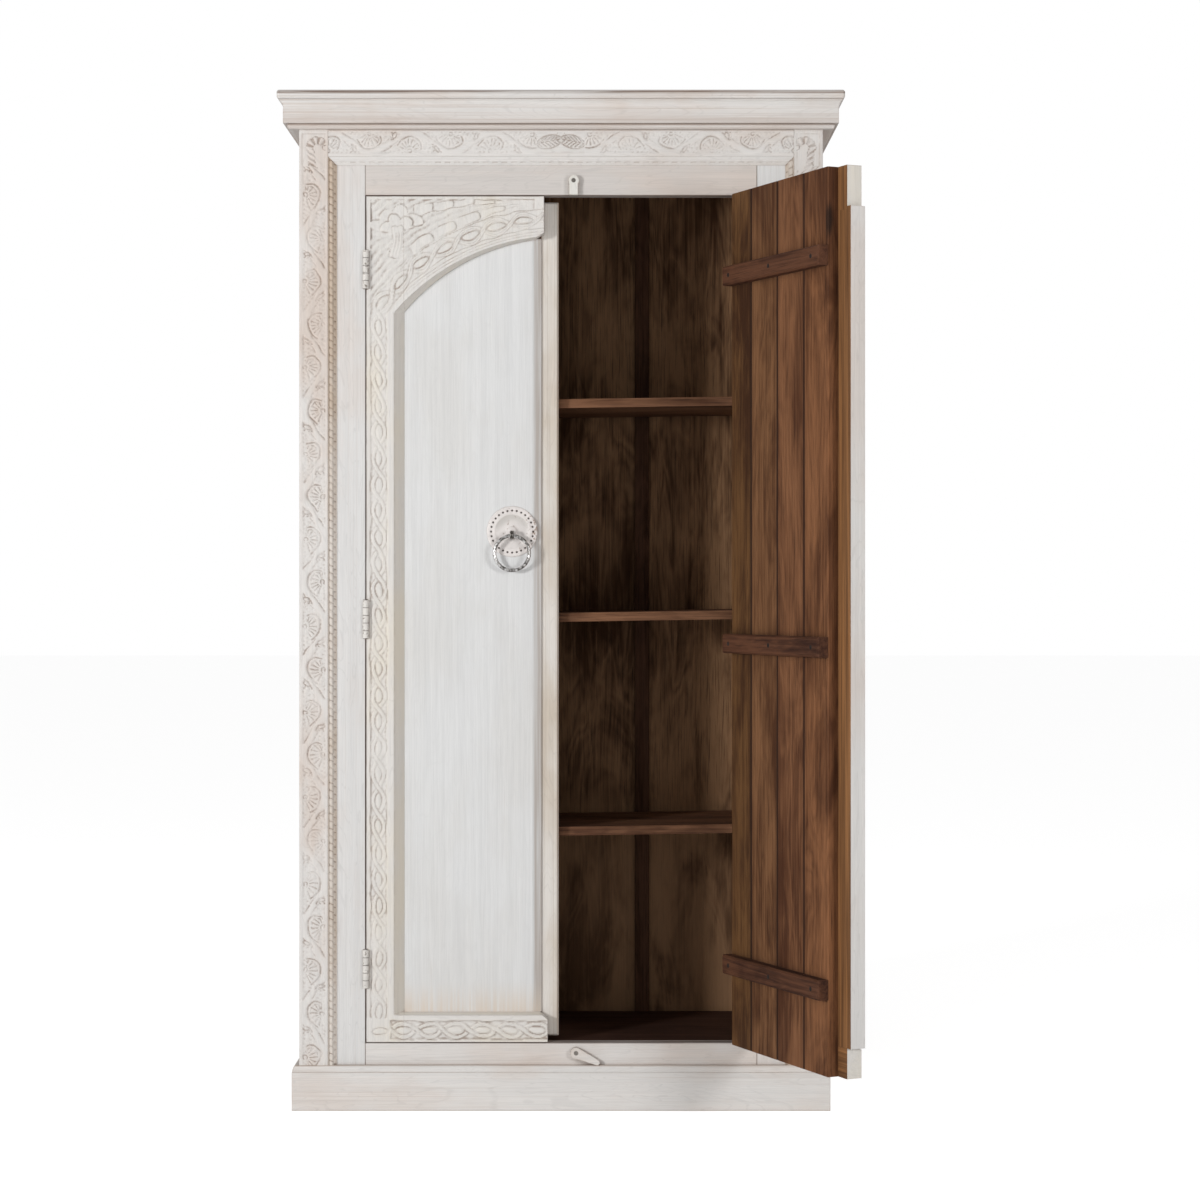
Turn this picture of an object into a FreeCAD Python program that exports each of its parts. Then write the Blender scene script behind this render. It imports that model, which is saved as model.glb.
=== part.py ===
import FreeCAD, Part
import math
import os

import Sketcher

# A two-door trastero cabinet, in millimetres. X runs to the right, Y to the back and Z up.
# The origin is on the floor, under the middle of the body. The left door is closed and the
# right door stands open by open_angle. Every door piece is drawn in its closed place.

SIZES = {
    "body_width": 941,
    "body_depth": 368,
    "body_height": 1813,
    "side_thickness": 18,
    "back_thickness": 18,
    "muntin_width": 27,
    "muntin_thickness": 10,
    "housing_depth": 6,
    "floor_thickness": 18,
    "bearer_width": 44,
    "edge_break": 0.8,
    "overrun": 5,
    # The top board and the moulding under it
    "top_thickness": 16,
    "top_overhang": 37.5,
    "top_nose_radius": 5,
    "cornice_height": 51,
    "cornice_bead_height": 9,
    "cornice_bead_base": 17,
    "cornice_fillet_thickness": 27,
    "cornice_fillet_height": 23,
    "cornice_cove_thickness": 35,
    "cornice_cove_radius": 19,
    # The plinth boards round the foot
    "plinth_height": 81,
    "plinth_thickness": 13,
    "plinth_face_height": 69,
    "plinth_quirk": 1.2,
    "plinth_top_width": 8,
    "plinth_round_radius": 14,
    # The face frame, its carved border and its bead strips
    "frame_thickness": 28,
    "frame_reveal": 51.5,
    "top_reveal": 54,
    "sill_height": 120,
    "border_width": 52,
    "border_top_height": 48,
    "border_thickness": 8,
    "bead_width": 15,
    "bead_flat_width": 7.5,
    "bead_edge_thickness": 1.2,
    # The shelves, which all rise to the right by the same amount
    "shelf_thickness": 16,
    "first_shelf_height": 384,
    "shelf_spacing": 389,
    "shelf_rise": 14,
    "shelf_clearance": 4.4,
    # The doors: a moulded face layer over planks
    "door_gap": 1.5,
    "face_thickness": 28,
    "plank_thickness": 19.6,
    "plank_edge_break": 1.6,
    "stile_face_width": 49.1,
    "rail_face_height": 47.8,
    "rail_bevel_height": 3.5,
    "bevel_width": 18.2,
    "recess_depth": 20,
    "arch_rise": 139,
    "arch_crown": 71,
    "arch_foot_crown": 2,
    "arch_foot_lift": 3.5,
    "margin_width": 16,
    "margin_drop": 6,
    "batten_height": 34,
    "batten_thickness": 20,
    "batten_edge_break": 3,
    # The meeting of the doors, measured from the middle of the opening
    "left_rail_end": 24.5,
    "left_spandrel_end": 31,
    "left_panel_edge": 36,
    "lip_edge": 5,
    "lip_setback": 1,
    "lip_end_gap": 6.8,
    "lip_edge_break": 3,
    "notch_edge": 44,
    "notch_rise": 8.5,
    "rail_notch_width": 10.5,
    "rail_notch_height": 8.5,
    "rail_notch_top": 49,
    "right_overlap": 22,
    "strip_half_width": 33.5,
    "strip_end_gap": 2.4,
    "right_plank_edge": 7,
    "open_angle": 115,
    # The butt hinges
    "hinge_height": 69,
    "hinge_inset": 133.5,
    "pin_radius": 2.5,
    "pin_clearance": 0.05,
    "pin_proud": 3,
    "barrel_radius": 5.5,
    "barrel_clearance": 0.6,
    "knuckle_gap": 0.4,
    "leaf_width": 22,
    "leaf_start": 3.8,
    "leaf_thickness": 2,
    "leaf_gap": 0.5,
    "leaf_screw_spacing": 40,
    # The wood screws
    "screw_head_radius": 4,
    "screw_head_depth": 1.6,
    "screw_shank_radius": 1.9,
    "screw_length": 25,
    # The ring pulls
    "ring_from_middle": 88.7,
    "plate_centre_height": 1040.5,
    "plate_radius": 46,
    "plate_thickness": 2.5,
    "plate_rim_height": 1.5,
    "plate_dish_radius": 31,
    "plate_hole_radius": 1.3,
    "plate_hole_circle": 38,
    "boss_radius": 9,
    "boss_height": 2.5,
    "staple_radius": 3,
    "eye_radius": 8,
    "eye_hole_radius": 4.8,
    "eye_width": 6.5,
    "eye_reach": 13,
    "eye_drop": 6.4,
    "ring_radius": 31.3,
    "ring_wire_radius": 3.1,
    "ring_rest_gap": 0.5,
    # The turn buttons
    "button_thickness": 9,
    "button_gap": 0.5,
    "button_screw_clearance": 0.08,
    "top_button_offset": 22.5,
    "top_button_height": 26,
    "top_button_head": 9.5,
    "top_button_neck": 16,
    "low_button_offset": 27,
    "low_button_height": 22,
    "low_button_head": 10,
    "low_button_tip": 4.8,
    "low_button_tail": 41.5,
    "button_rest_gap": 0.3,
}

# Counts and shares that no length sets
BACK_PANEL_COUNT = 3
KNUCKLE_COUNT = 5
PLATE_HOLE_COUNT = 28
PLANK_WIDTH_SHARES = (0.214, 0.277, 0.272, 0.237)
BATTEN_SCREW_SHARES = (0.07, 0.5, 0.93)
LOWER_BATTEN_SHARE = 0.40
MIDDLE_BATTEN_SHARE = 0.90
UPPER_BATTEN_SHARE = 0.59
CORNICE_BEAD_RADIUS_SHARE = 0.54

LEFT = -1
RIGHT = 1
SIDE_NAMES = {LEFT: "left", RIGHT: "right"}

doc = FreeCAD.newDocument("Trastero")
sheet = doc.addObject("Spreadsheet::Sheet", "Sizes")
for row, (alias, number) in enumerate(SIZES.items(), start=1):
    sheet.set(f"A{row}", alias)
    sheet.set(f"B{row}", str(number))
    sheet.setAlias(f"B{row}", alias)
doc.recompute()


class Value:
    """A number together with the sheet expression that gives it."""

    def __init__(self, number, text):
        self.number = float(number)
        self.text = text

    def __add__(self, other):
        return combine(self, "+", other)

    def __radd__(self, other):
        return combine(other, "+", self)

    def __sub__(self, other):
        return combine(self, "-", other)

    def __rsub__(self, other):
        return combine(other, "-", self)

    def __mul__(self, other):
        return combine(self, "*", other)

    def __rmul__(self, other):
        return combine(other, "*", self)

    def __truediv__(self, other):
        return combine(self, "/", other)

    def __neg__(self):
        return combine(0, "-", self)


def as_value(thing):
    """Turn a plain number, such as a share or a count, into a Value."""
    if isinstance(thing, Value):
        return thing
    return Value(thing, f"({thing})")


def combine(first, sign, second):
    """Join two values by one arithmetic sign."""
    first = as_value(first)
    second = as_value(second)
    results = {
        "+": lambda: first.number + second.number,
        "-": lambda: first.number - second.number,
        "*": lambda: first.number * second.number,
        "/": lambda: first.number / second.number,
    }
    return Value(results[sign](), f"({first.text} {sign} {second.text})")


def root(value):
    """Square root of a value."""
    return Value(math.sqrt(value.number), f"sqrt({value.text})")


def cosine(angle):
    """Cosine of an angle in degrees."""
    return Value(math.cos(math.radians(angle.number)), f"cos({angle.text})")


def sine(angle):
    """Sine of an angle in degrees."""
    return Value(math.sin(math.radians(angle.number)), f"sin({angle.text})")


def size(alias):
    """The value of one cell of the sheet."""
    return Value(sheet.get(alias), f"Sizes.{alias}")


ZERO = as_value(0)
OVERRUN = size("overrun")

# Places that several pieces share
HALF_BODY = size("body_width") / 2
FRONT = -size("body_depth") / 2
BACK = size("body_depth") / 2
BODY_TOP = size("body_height")
FRAME_BACK = FRONT + size("frame_thickness")
BACK_FACE = BACK - size("back_thickness")
INSIDE_HALF = HALF_BODY - size("side_thickness")
CORNICE_BOTTOM = BODY_TOP - size("cornice_height")
PLINTH_TOP = size("plinth_height")
BORDER_EDGE = HALF_BODY - size("border_width")
BEAD_EDGE = BORDER_EDGE - size("bead_width")
OPENING_HALF = BEAD_EDGE - size("frame_reveal")
BORDER_BOTTOM = CORNICE_BOTTOM - size("border_top_height")
BEAD_BOTTOM = BORDER_BOTTOM - size("bead_width")
SILL = size("sill_height")
OPENING_TOP = BEAD_BOTTOM - size("top_reveal")

# The hinge axis stands in the middle of the gap, a little in front of the frame
PIN_X = OPENING_HALF - size("door_gap") / 2
PIN_Y = FRONT - size("pin_proud")
HINGE_LEVELS = (
    SILL + size("hinge_inset"),
    (SILL + OPENING_TOP) / 2,
    OPENING_TOP - size("hinge_inset"),
)

# Door places, as distances from the middle of the opening
DOOR_EDGE = OPENING_HALF - size("door_gap")
DOOR_BOTTOM = SILL + size("door_gap")
DOOR_TOP = OPENING_TOP - size("door_gap")
FACE_BACK = FRONT + size("face_thickness")
PLANK_BACK = FACE_BACK + size("plank_thickness")
PANEL_FRONT = FRONT + size("recess_depth")
ARRIS = DOOR_EDGE - size("stile_face_width")
RECESS_EDGE = ARRIS - size("bevel_width")
RECESS_BOTTOM = DOOR_BOTTOM + size("rail_face_height") + size("rail_bevel_height")
ARCH_RADIUS = (ARRIS * ARRIS + size("arch_rise") * size("arch_rise")) / (2 * size("arch_rise"))
ARCH_CENTRE = DOOR_TOP - size("arch_crown") - ARCH_RADIUS

# The foot of the arch's bevel is a second arc: the bevel narrows towards the crown
FOOT_RISE = size("arch_rise") - size("arch_foot_crown") - size("arch_foot_lift")
FOOT_RADIUS = (RECESS_EDGE * RECESS_EDGE + FOOT_RISE * FOOT_RISE) / (2 * FOOT_RISE)
FOOT_CENTRE = DOOR_TOP - size("arch_crown") - size("arch_foot_crown") - FOOT_RADIUS
NOTCH_BOTTOM = ARCH_CENTRE + root(ARCH_RADIUS * ARCH_RADIUS - size("notch_edge") * size("notch_edge"))
RAIL_NOTCH = DOOR_BOTTOM + size("rail_notch_top")

# Shelf places
SHELF_FRONT = PLANK_BACK + size("shelf_clearance")
SHELF_BACK = BACK_FACE - size("muntin_thickness")
SHELF_TOPS = [
    SILL + size("first_shelf_height") + count * size("shelf_spacing")
    for count in range(3)
]

nodes = []


def bind(thing, name, value):
    """Set one property from a value and tie it to the sheet."""
    thing.setExpression(name, value.text)


def place(thing, base, rotation=FreeCAD.Rotation()):
    """Put an object at a base point that follows the sheet."""
    numbers = FreeCAD.Vector(*[coordinate.number for coordinate in base])
    thing.Placement = FreeCAD.Placement(numbers, rotation)
    for axis, coordinate in zip("xyz", base):
        bind(thing, f"Placement.Base.{axis}", coordinate)


def name_node(thing, label, on_right_door=False):
    """Give a finished sub-part its label, and open it if the right door carries it."""
    thing.Label = label
    nodes.append(thing)
    if not on_right_door:
        return
    angle = size("open_angle")
    turned_x = PIN_X * cosine(angle) - PIN_Y * sine(angle)
    turned_y = PIN_X * sine(angle) + PIN_Y * cosine(angle)
    opened = FreeCAD.Rotation(FreeCAD.Vector(0, 0, 1), angle.number)
    place(thing, (PIN_X - turned_x, PIN_Y - turned_y, ZERO), opened)
    bind(thing, "Placement.Rotation.Angle", angle)


def ordered(first, second):
    """Two values, the smaller one first."""
    return (first, second) if first.number <= second.number else (second, first)


def new_body(name):
    """An empty PartDesign body."""
    return doc.addObject("PartDesign::Body", name)


def block(body, kind, x_range, y_range, z_range):
    """Add or cut a box between pairs of values, given in either order."""
    feature = body.newObject(f"PartDesign::{kind}Box", "Block")
    ranges = [ordered(*pair) for pair in (x_range, y_range, z_range)]
    for name, (low, high) in zip(("Length", "Width", "Height"), ranges):
        bind(feature, name, high - low)
    place(feature, [low for low, high in ranges])
    return feature


def cylinder(body, kind, base, radius, length, rotation=FreeCAD.Rotation()):
    """Add or cut a cylinder that starts at a base point, along Z before its rotation."""
    feature = body.newObject(f"PartDesign::{kind}Cylinder", "Round")
    bind(feature, "Radius", radius)
    bind(feature, "Height", length)
    place(feature, base, rotation)
    return feature


def arc_centre(start, end, radius, turn):
    """Centre of the short arc between two points; turn is 1 for counter-clockwise."""
    run = (end[0] - start[0], end[1] - start[1])
    half_chord = math.hypot(*run) / 2
    reach = math.sqrt(max(0.0, radius * radius - half_chord * half_chord))
    normal = (-run[1] / (2 * half_chord), run[0] / (2 * half_chord))
    middle = ((start[0] + end[0]) / 2, (start[1] + end[1]) / 2)
    return tuple(middle[i] + turn * reach * normal[i] for i in (0, 1))


def sketch(body, plane, level, points):
    """Draw a closed outline on one of the body's planes, moved along it to a level.

    A point is two values, and a radius and a turn too where an arc leaves it.
    """
    drawing = body.newObject("Sketcher::SketchObject", "Outline")
    support = [part for part in body.Origin.OriginFeatures if part.Role == plane][0]
    drawing.AttachmentSupport = [(support, "")]
    drawing.MapMode = "FlatFace"
    bind(drawing, "AttachmentOffset.Base.z", -level if plane == "XZ_Plane" else level)
    ends = []
    for index, point in enumerate(points):
        following = points[(index + 1) % len(points)]
        start = (point[0].number, point[1].number)
        end = (following[0].number, following[1].number)
        if len(point) == 2:
            line = Part.LineSegment(FreeCAD.Vector(*start, 0), FreeCAD.Vector(*end, 0))
            ends.append((drawing.addGeometry(line), 1, 2))
            continue
        radius, turn = point[2], point[3]
        centre = arc_centre(start, end, radius.number, turn)
        circle = Part.Circle(FreeCAD.Vector(*centre, 0), FreeCAD.Vector(0, 0, 1), radius.number)
        first, last = (start, end) if turn > 0 else (end, start)
        angles = [math.atan2(p[1] - centre[1], p[0] - centre[0]) for p in (first, last)]
        curve = drawing.addGeometry(Part.ArcOfCircle(circle, *angles))
        ends.append((curve, 1, 2) if turn > 0 else (curve, 2, 1))
        rule = Sketcher.Constraint("Radius", curve, radius.number)
        bind(drawing, f"Constraints[{drawing.addConstraint(rule)}]", radius)
    for index, (curve, start_end, far_end) in enumerate(ends):
        next_curve, next_end, _ = ends[(index + 1) % len(ends)]
        drawing.addConstraint(
            Sketcher.Constraint("Coincident", curve, far_end, next_curve, next_end)
        )
        for kind, value in zip(("DistanceX", "DistanceY"), points[index]):
            rule = Sketcher.Constraint(kind, -1, 1, curve, start_end, value.number)
            bind(drawing, f"Constraints[{drawing.addConstraint(rule)}]", value)
    return drawing


def pad(body, plane, points, low, high):
    """Raise an outline between two levels across its plane."""
    level = high if plane == "XZ_Plane" else low
    feature_sketch = sketch(body, plane, level, points)
    feature = body.newObject("PartDesign::Pad", "Pad")
    feature.Profile = feature_sketch
    bind(feature, "Length", high - low)
    return feature


def pocket(body, plane, points):
    """Cut an outline right through, both ways from its plane."""
    feature_sketch = sketch(body, plane, ZERO, points)
    feature = body.newObject("PartDesign::Pocket", "Pocket")
    feature.Profile = feature_sketch
    feature.Type = "ThroughAll"
    feature.Midplane = True
    return feature


def break_edges(body, amount, wanted=lambda edge: True):
    """Chamfer the wanted edges of what the body holds so far."""
    base = body.Tip
    base.recompute()
    names = [
        f"Edge{index}"
        for index, edge in enumerate(base.Shape.Edges, start=1)
        if wanted(edge)
    ]
    feature = body.newObject("PartDesign::Chamfer", "EdgeBreak")
    feature.Base = (base, names)
    bind(feature, "Size", amount)
    return feature


def board(name, x_range, y_range, z_range, broken=True):
    """A plain board with its edges broken."""
    body = new_body(name)
    block(body, "Additive", x_range, y_range, z_range)
    if broken:
        break_edges(body, size("edge_break"))
    return body


def group(name, things):
    """Several objects held together in one object."""
    compound = doc.addObject("Part::Compound", name)
    compound.Links = things
    return compound


def cut(name, base, tools):
    """One object with others taken out of it."""
    result = doc.addObject("Part::Cut", name)
    result.Base = base
    result.Tool = tools[0] if len(tools) == 1 else group(f"{name}_tools", tools)
    return result


def screws(name, places):
    """Countersunk screws; each place is a head centre and the rotation of its length."""
    parts = []
    for base, rotation in places:
        head = doc.addObject("Part::Cone", "Head")
        bind(head, "Radius1", size("screw_head_radius"))
        bind(head, "Radius2", size("screw_shank_radius"))
        bind(head, "Height", size("screw_head_depth"))
        shank = doc.addObject("Part::Cylinder", "Shank")
        bind(shank, "Radius", size("screw_shank_radius"))
        bind(shank, "Height", size("screw_length"))
        place(head, base, rotation)
        place(shank, base, rotation)
        parts.extend((head, shank))
    joined = doc.addObject("Part::MultiFuse", name)
    joined.Shapes = parts
    return joined


UPWARDS = FreeCAD.Vector(0, 0, 1)
TO_FRONT = FreeCAD.Rotation(UPWARDS, FreeCAD.Vector(0, -1, 0))
TO_BACK = FreeCAD.Rotation(UPWARDS, FreeCAD.Vector(0, 1, 0))
TO_SIDE = {
    LEFT: FreeCAD.Rotation(UPWARDS, FreeCAD.Vector(-1, 0, 0)),
    RIGHT: FreeCAD.Rotation(UPWARDS, FreeCAD.Vector(1, 0, 0)),
}


def cornice_profile():
    """Moulding outline as (projection, height), with arcs marked."""
    bead_top = CORNICE_BOTTOM + size("cornice_bead_height")
    fillet_top = bead_top + size("cornice_fillet_height")
    bead_radius = size("cornice_bead_height") * CORNICE_BEAD_RADIUS_SHARE
    return [
        (ZERO, CORNICE_BOTTOM),
        (size("cornice_bead_base"), CORNICE_BOTTOM, bead_radius, 1),
        (size("cornice_bead_base"), bead_top),
        (size("cornice_fillet_thickness"), bead_top),
        (size("cornice_fillet_thickness"), fillet_top, size("cornice_cove_radius"), -1),
        (size("cornice_cove_thickness"), BODY_TOP),
        (ZERO, BODY_TOP),
    ]


def plinth_profile():
    """Plinth outline as (projection, height), with arcs marked."""
    return [
        (ZERO, ZERO),
        (size("plinth_thickness"), ZERO),
        (size("plinth_thickness"), size("plinth_face_height")),
        (
            size("plinth_thickness") - size("plinth_quirk"),
            size("plinth_face_height"),
            size("plinth_round_radius"),
            1,
        ),
        (size("plinth_top_width"), PLINTH_TOP),
        (ZERO, PLINTH_TOP),
    ]


def turned(rest, sign):
    """The rest of a profile point, with its arc's turn following a mirrored outline."""
    return rest if len(rest) == 1 else (rest[0], rest[1], rest[2] * sign)


def moulding(name, profile, reach, side=None):
    """A moulded board along the front, or along one side, mitred at the front corners."""
    body = new_body(name)
    far = HALF_BODY + reach
    nose = FRONT - reach
    if side is None:
        points = [(FRONT - point[0], *turned(point[1:], -1)) for point in profile]
        pad(body, "YZ_Plane", points, -far, far)
        for end in (LEFT, RIGHT):
            pocket(
                body,
                "XY_Plane",
                [(end * HALF_BODY, FRONT), (end * far, FRONT), (end * far, nose)],
            )
    else:
        points = [(side * (HALF_BODY + point[0]), *turned(point[1:], side)) for point in profile]
        pad(body, "XZ_Plane", points, nose, BACK)
        pocket(
            body,
            "XY_Plane",
            [(side * HALF_BODY, FRONT), (side * far, nose), (side * HALF_BODY, nose)],
        )
    return body


def make_plinth_and_cornice():
    """The boards round the foot, the moulding round the head and the top board."""
    plinth_reach = size("plinth_thickness")
    cornice_reach = size("top_overhang")
    for label, side in (("front", None), ("left", LEFT), ("right", RIGHT)):
        plinth = moulding(f"plinth_{label}", plinth_profile(), plinth_reach, side)
        name_node(plinth, f"plinth_{label}")
        cornice = moulding(f"cornice_{label}", cornice_profile(), cornice_reach, side)
        name_node(cornice, f"cornice_{label}")
    top = new_body("top_board")
    half = HALF_BODY + size("top_overhang")
    block(
        top,
        "Additive",
        (-half, half),
        (FRONT - size("top_overhang"), BACK),
        (BODY_TOP, BODY_TOP + size("top_thickness")),
    )
    base = top.Tip
    base.recompute()
    edges = [
        f"Edge{index}"
        for index, edge in enumerate(base.Shape.Edges, start=1)
        if edge.BoundBox.YMin < FRONT.number
    ]
    nosing = top.newObject("PartDesign::Fillet", "Nosing")
    nosing.Base = (base, edges)
    bind(nosing, "Radius", size("top_nose_radius"))
    name_node(top, "top_board")


def shelf_outline(top):
    """A shelf seen from the front: level edges would be parallel, these rise to the right."""
    reach = INSIDE_HALF + size("housing_depth")
    tilt = size("shelf_rise") / 2 * (reach / INSIDE_HALF)
    low = top - size("shelf_thickness")
    return [
        (-reach, low - tilt),
        (reach, low + tilt),
        (reach, top + tilt),
        (-reach, top - tilt),
    ]


def make_carcass():
    """Sides, floor, shelves, back and the bearer under the floor."""
    reach = INSIDE_HALF + size("housing_depth")
    floor_bottom = SILL - size("floor_thickness")
    floor = board("floor_board", (-reach, reach), (FRAME_BACK, BACK_FACE), (floor_bottom, SILL), False)
    shelves = []
    for label, top in zip(("lower", "middle", "upper"), SHELF_TOPS):
        shelf = new_body(f"shelf_{label}")
        pad(shelf, "XZ_Plane", shelf_outline(top), SHELF_FRONT, SHELF_BACK)
        shelves.append(shelf)
        name_node(shelf, f"shelf_{label}")
    name_node(floor, "floor_board")
    for side in (LEFT, RIGHT):
        blank = board(
            f"side_blank_{SIDE_NAMES[side]}",
            (side * INSIDE_HALF, side * HALF_BODY),
            (FRAME_BACK, BACK),
            (ZERO, BODY_TOP),
        )
        housed = cut(f"side_{SIDE_NAMES[side]}", blank, [floor, *shelves])
        name_node(housed, f"side_{SIDE_NAMES[side]}")
    half_bearer = size("bearer_width") / 2
    bearer = board(
        "floor_bearer",
        (-half_bearer, half_bearer),
        (FRAME_BACK, BACK_FACE),
        (ZERO, floor_bottom),
    )
    name_node(bearer, "floor_bearer")
    make_back()


def make_back():
    """Back panels side by side, with a muntin over each of their joints."""
    panel_width = 2 * INSIDE_HALF / BACK_PANEL_COUNT
    panels = []
    muntins = []
    for count in range(BACK_PANEL_COUNT):
        left = count * panel_width - INSIDE_HALF
        panel = board("back_panel", (left, left + panel_width), (BACK_FACE, BACK), (ZERO, BODY_TOP))
        panels.append(panel)
        if count == 0:
            continue
        muntin = board(
            "back_muntin",
            (left - size("muntin_width") / 2, left + size("muntin_width") / 2),
            (SHELF_BACK, BACK_FACE),
            (SILL, BODY_TOP),
        )
        muntins.append(muntin)
    name_node(group("back_panels", panels), "back_panels")
    name_node(group("back_muntins", muntins), "back_muntins")


def make_face_frame():
    """Stiles and rails round the door opening, with the seats of the hinges cut in."""
    screw_group = screws(
        "frame_screws",
        [place_of for side in (LEFT, RIGHT) for place_of in leaf_screw_places(side, False)],
    )
    name_node(screw_group, "hinge_frame_screws")
    for side in (LEFT, RIGHT):
        blank = board(
            f"frame_stile_blank_{SIDE_NAMES[side]}",
            (side * OPENING_HALF, side * HALF_BODY),
            (FRONT, FRAME_BACK),
            (ZERO, BODY_TOP),
        )
        cut_hinge_seats(blank, side, False)
        stile = cut(f"frame_stile_{SIDE_NAMES[side]}", blank, [screw_group])
        name_node(stile, f"frame_stile_{SIDE_NAMES[side]}")
    across = (-OPENING_HALF, OPENING_HALF)
    deep = (FRONT, FRAME_BACK)
    turn_screws = screws("turn_button_screws", turn_screw_places())
    rails = {"top": (OPENING_TOP, BODY_TOP), "bottom": (ZERO, SILL)}
    for label, heights in rails.items():
        rail_blank = board(f"frame_rail_blank_{label}", across, deep, heights)
        name_node(cut(f"frame_rail_{label}", rail_blank, [turn_screws]), f"frame_rail_{label}")
    name_node(turn_screws, "turn_button_screws")
    make_border_and_beads()


def make_border_and_beads():
    """The carved border boards and the bead strips inside them, laid on the frame."""
    face = FRONT - size("border_thickness")
    for side in (LEFT, RIGHT):
        border = board(
            f"border_{SIDE_NAMES[side]}",
            (side * BORDER_EDGE, side * HALF_BODY),
            (face, FRONT),
            (PLINTH_TOP, CORNICE_BOTTOM),
        )
        name_node(border, f"border_{SIDE_NAMES[side]}")
        strip = new_body(f"bead_{SIDE_NAMES[side]}")
        outline = [(side * point[0], point[1]) for point in bead_profile(BORDER_EDGE)]
        pad(strip, "XY_Plane", outline, PLINTH_TOP, BORDER_BOTTOM)
        mitre = [
            (side * BORDER_EDGE, BORDER_BOTTOM),
            (side * BEAD_EDGE, BEAD_BOTTOM),
            (side * BEAD_EDGE, BORDER_BOTTOM),
        ]
        pocket(strip, "XZ_Plane", mitre)
        name_node(strip, f"bead_{SIDE_NAMES[side]}")
    top = board(
        "border_top",
        (-BORDER_EDGE, BORDER_EDGE),
        (face, FRONT),
        (BORDER_BOTTOM, CORNICE_BOTTOM),
    )
    name_node(top, "border_top")
    strip = new_body("bead_top")
    outline = [(point[1], point[0]) for point in bead_profile(BORDER_BOTTOM)]
    pad(strip, "YZ_Plane", outline, -BORDER_EDGE, BORDER_EDGE)
    for side in (LEFT, RIGHT):
        mitre = [
            (side * BORDER_EDGE, BORDER_BOTTOM),
            (side * BEAD_EDGE, BEAD_BOTTOM),
            (side * BORDER_EDGE, BEAD_BOTTOM),
        ]
        pocket(strip, "XZ_Plane", mitre)
    name_node(strip, "bead_top")


def bead_profile(outer):
    """Section of a bead strip as (place across it, Y), from its outer edge inwards."""
    flat_edge = outer - size("bead_flat_width")
    inner = outer - size("bead_width")
    return [
        (outer, FRONT),
        (outer, FRONT - size("border_thickness")),
        (flat_edge, FRONT - size("border_thickness")),
        (inner, FRONT - size("bead_edge_thickness")),
        (inner, FRONT),
    ]


def knuckle_levels(middle, owned_by_door):
    """Bottom of each knuckle of one leaf; the frame leaf has the odd ones."""
    pitch = size("hinge_height") / KNUCKLE_COUNT
    start = 1 if owned_by_door else 0
    bottom = middle - size("hinge_height") / 2
    return [bottom + count * pitch for count in range(start, KNUCKLE_COUNT, 2)]


def hinge_leaf(side, middle, on_door):
    """One leaf with its knuckles, bored for the pin, cut clear of the other leaf's."""
    body = new_body("hinge_leaf")
    pitch = size("hinge_height") / KNUCKLE_COUNT
    bottom = middle - size("hinge_height") / 2
    pin = side * PIN_X
    towards = -side if on_door else side
    near = pin + towards * (size("leaf_gap") / 2)
    cylinder(body, "Additive", (pin, PIN_Y, bottom), size("barrel_radius"), size("hinge_height"))
    block(
        body,
        "Additive",
        (near, near + towards * size("leaf_thickness")),
        (PIN_Y + size("leaf_start"), PIN_Y + size("leaf_width")),
        (bottom, bottom + size("hinge_height")),
    )
    for level in knuckle_levels(middle, not on_door):
        cylinder(
            body,
            "Subtractive",
            (pin, PIN_Y, level - size("knuckle_gap")),
            size("barrel_radius") + size("knuckle_gap"),
            pitch + 2 * size("knuckle_gap"),
        )
    cylinder(
        body,
        "Subtractive",
        (pin, PIN_Y, bottom - OVERRUN),
        size("pin_radius") + size("pin_clearance"),
        size("hinge_height") + 2 * OVERRUN,
    )
    return body


def cut_hinge_seats(body, side, on_door):
    """Cut the mortises of the leaves and the rounds for the barrels into an edge."""
    sink = size("leaf_gap") / 2 + size("leaf_thickness")
    towards = -side if on_door else side
    pin = side * PIN_X
    for middle in HINGE_LEVELS:
        bottom = middle - size("hinge_height") / 2
        block(
            body,
            "Subtractive",
            (pin, pin + towards * sink),
            (PIN_Y, PIN_Y + size("leaf_width")),
            (bottom, bottom + size("hinge_height")),
        )
        cylinder(
            body,
            "Subtractive",
            (pin, PIN_Y, bottom - size("barrel_clearance")),
            size("barrel_radius") + size("barrel_clearance"),
            size("hinge_height") + 2 * size("barrel_clearance"),
        )


def leaf_screw_places(side, on_door):
    """Head centres and directions of the screws through the leaves of one side."""
    towards = -side if on_door else side
    face = side * PIN_X + towards * (size("leaf_gap") / 2)
    across = PIN_Y + (size("barrel_radius") + size("leaf_width")) / 2
    places = []
    for middle in HINGE_LEVELS:
        for end in (-1, 1):
            level = middle + end * (size("leaf_screw_spacing") / 2)
            places.append(((face, across, level), TO_SIDE[towards]))
    return places


def make_frame_hinges():
    """The fixed leaves and the pins of all six hinges."""
    leaves = [hinge_leaf(side, level, False) for side in (LEFT, RIGHT) for level in HINGE_LEVELS]
    screw_group = doc.getObjectsByLabel("hinge_frame_screws")[0]
    name_node(cut("hinge_frame_leaves", group("frame_leaves", leaves), [screw_group]), "hinge_frame_leaves")
    pins = []
    for side in (LEFT, RIGHT):
        for middle in HINGE_LEVELS:
            pin = doc.addObject("Part::Cylinder", "Pin")
            bind(pin, "Radius", size("pin_radius"))
            bind(pin, "Height", size("hinge_height"))
            place(pin, (side * PIN_X, PIN_Y, middle - size("hinge_height") / 2))
            pins.append(pin)
    name_node(group("hinge_pins", pins), "hinge_pins")


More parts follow.
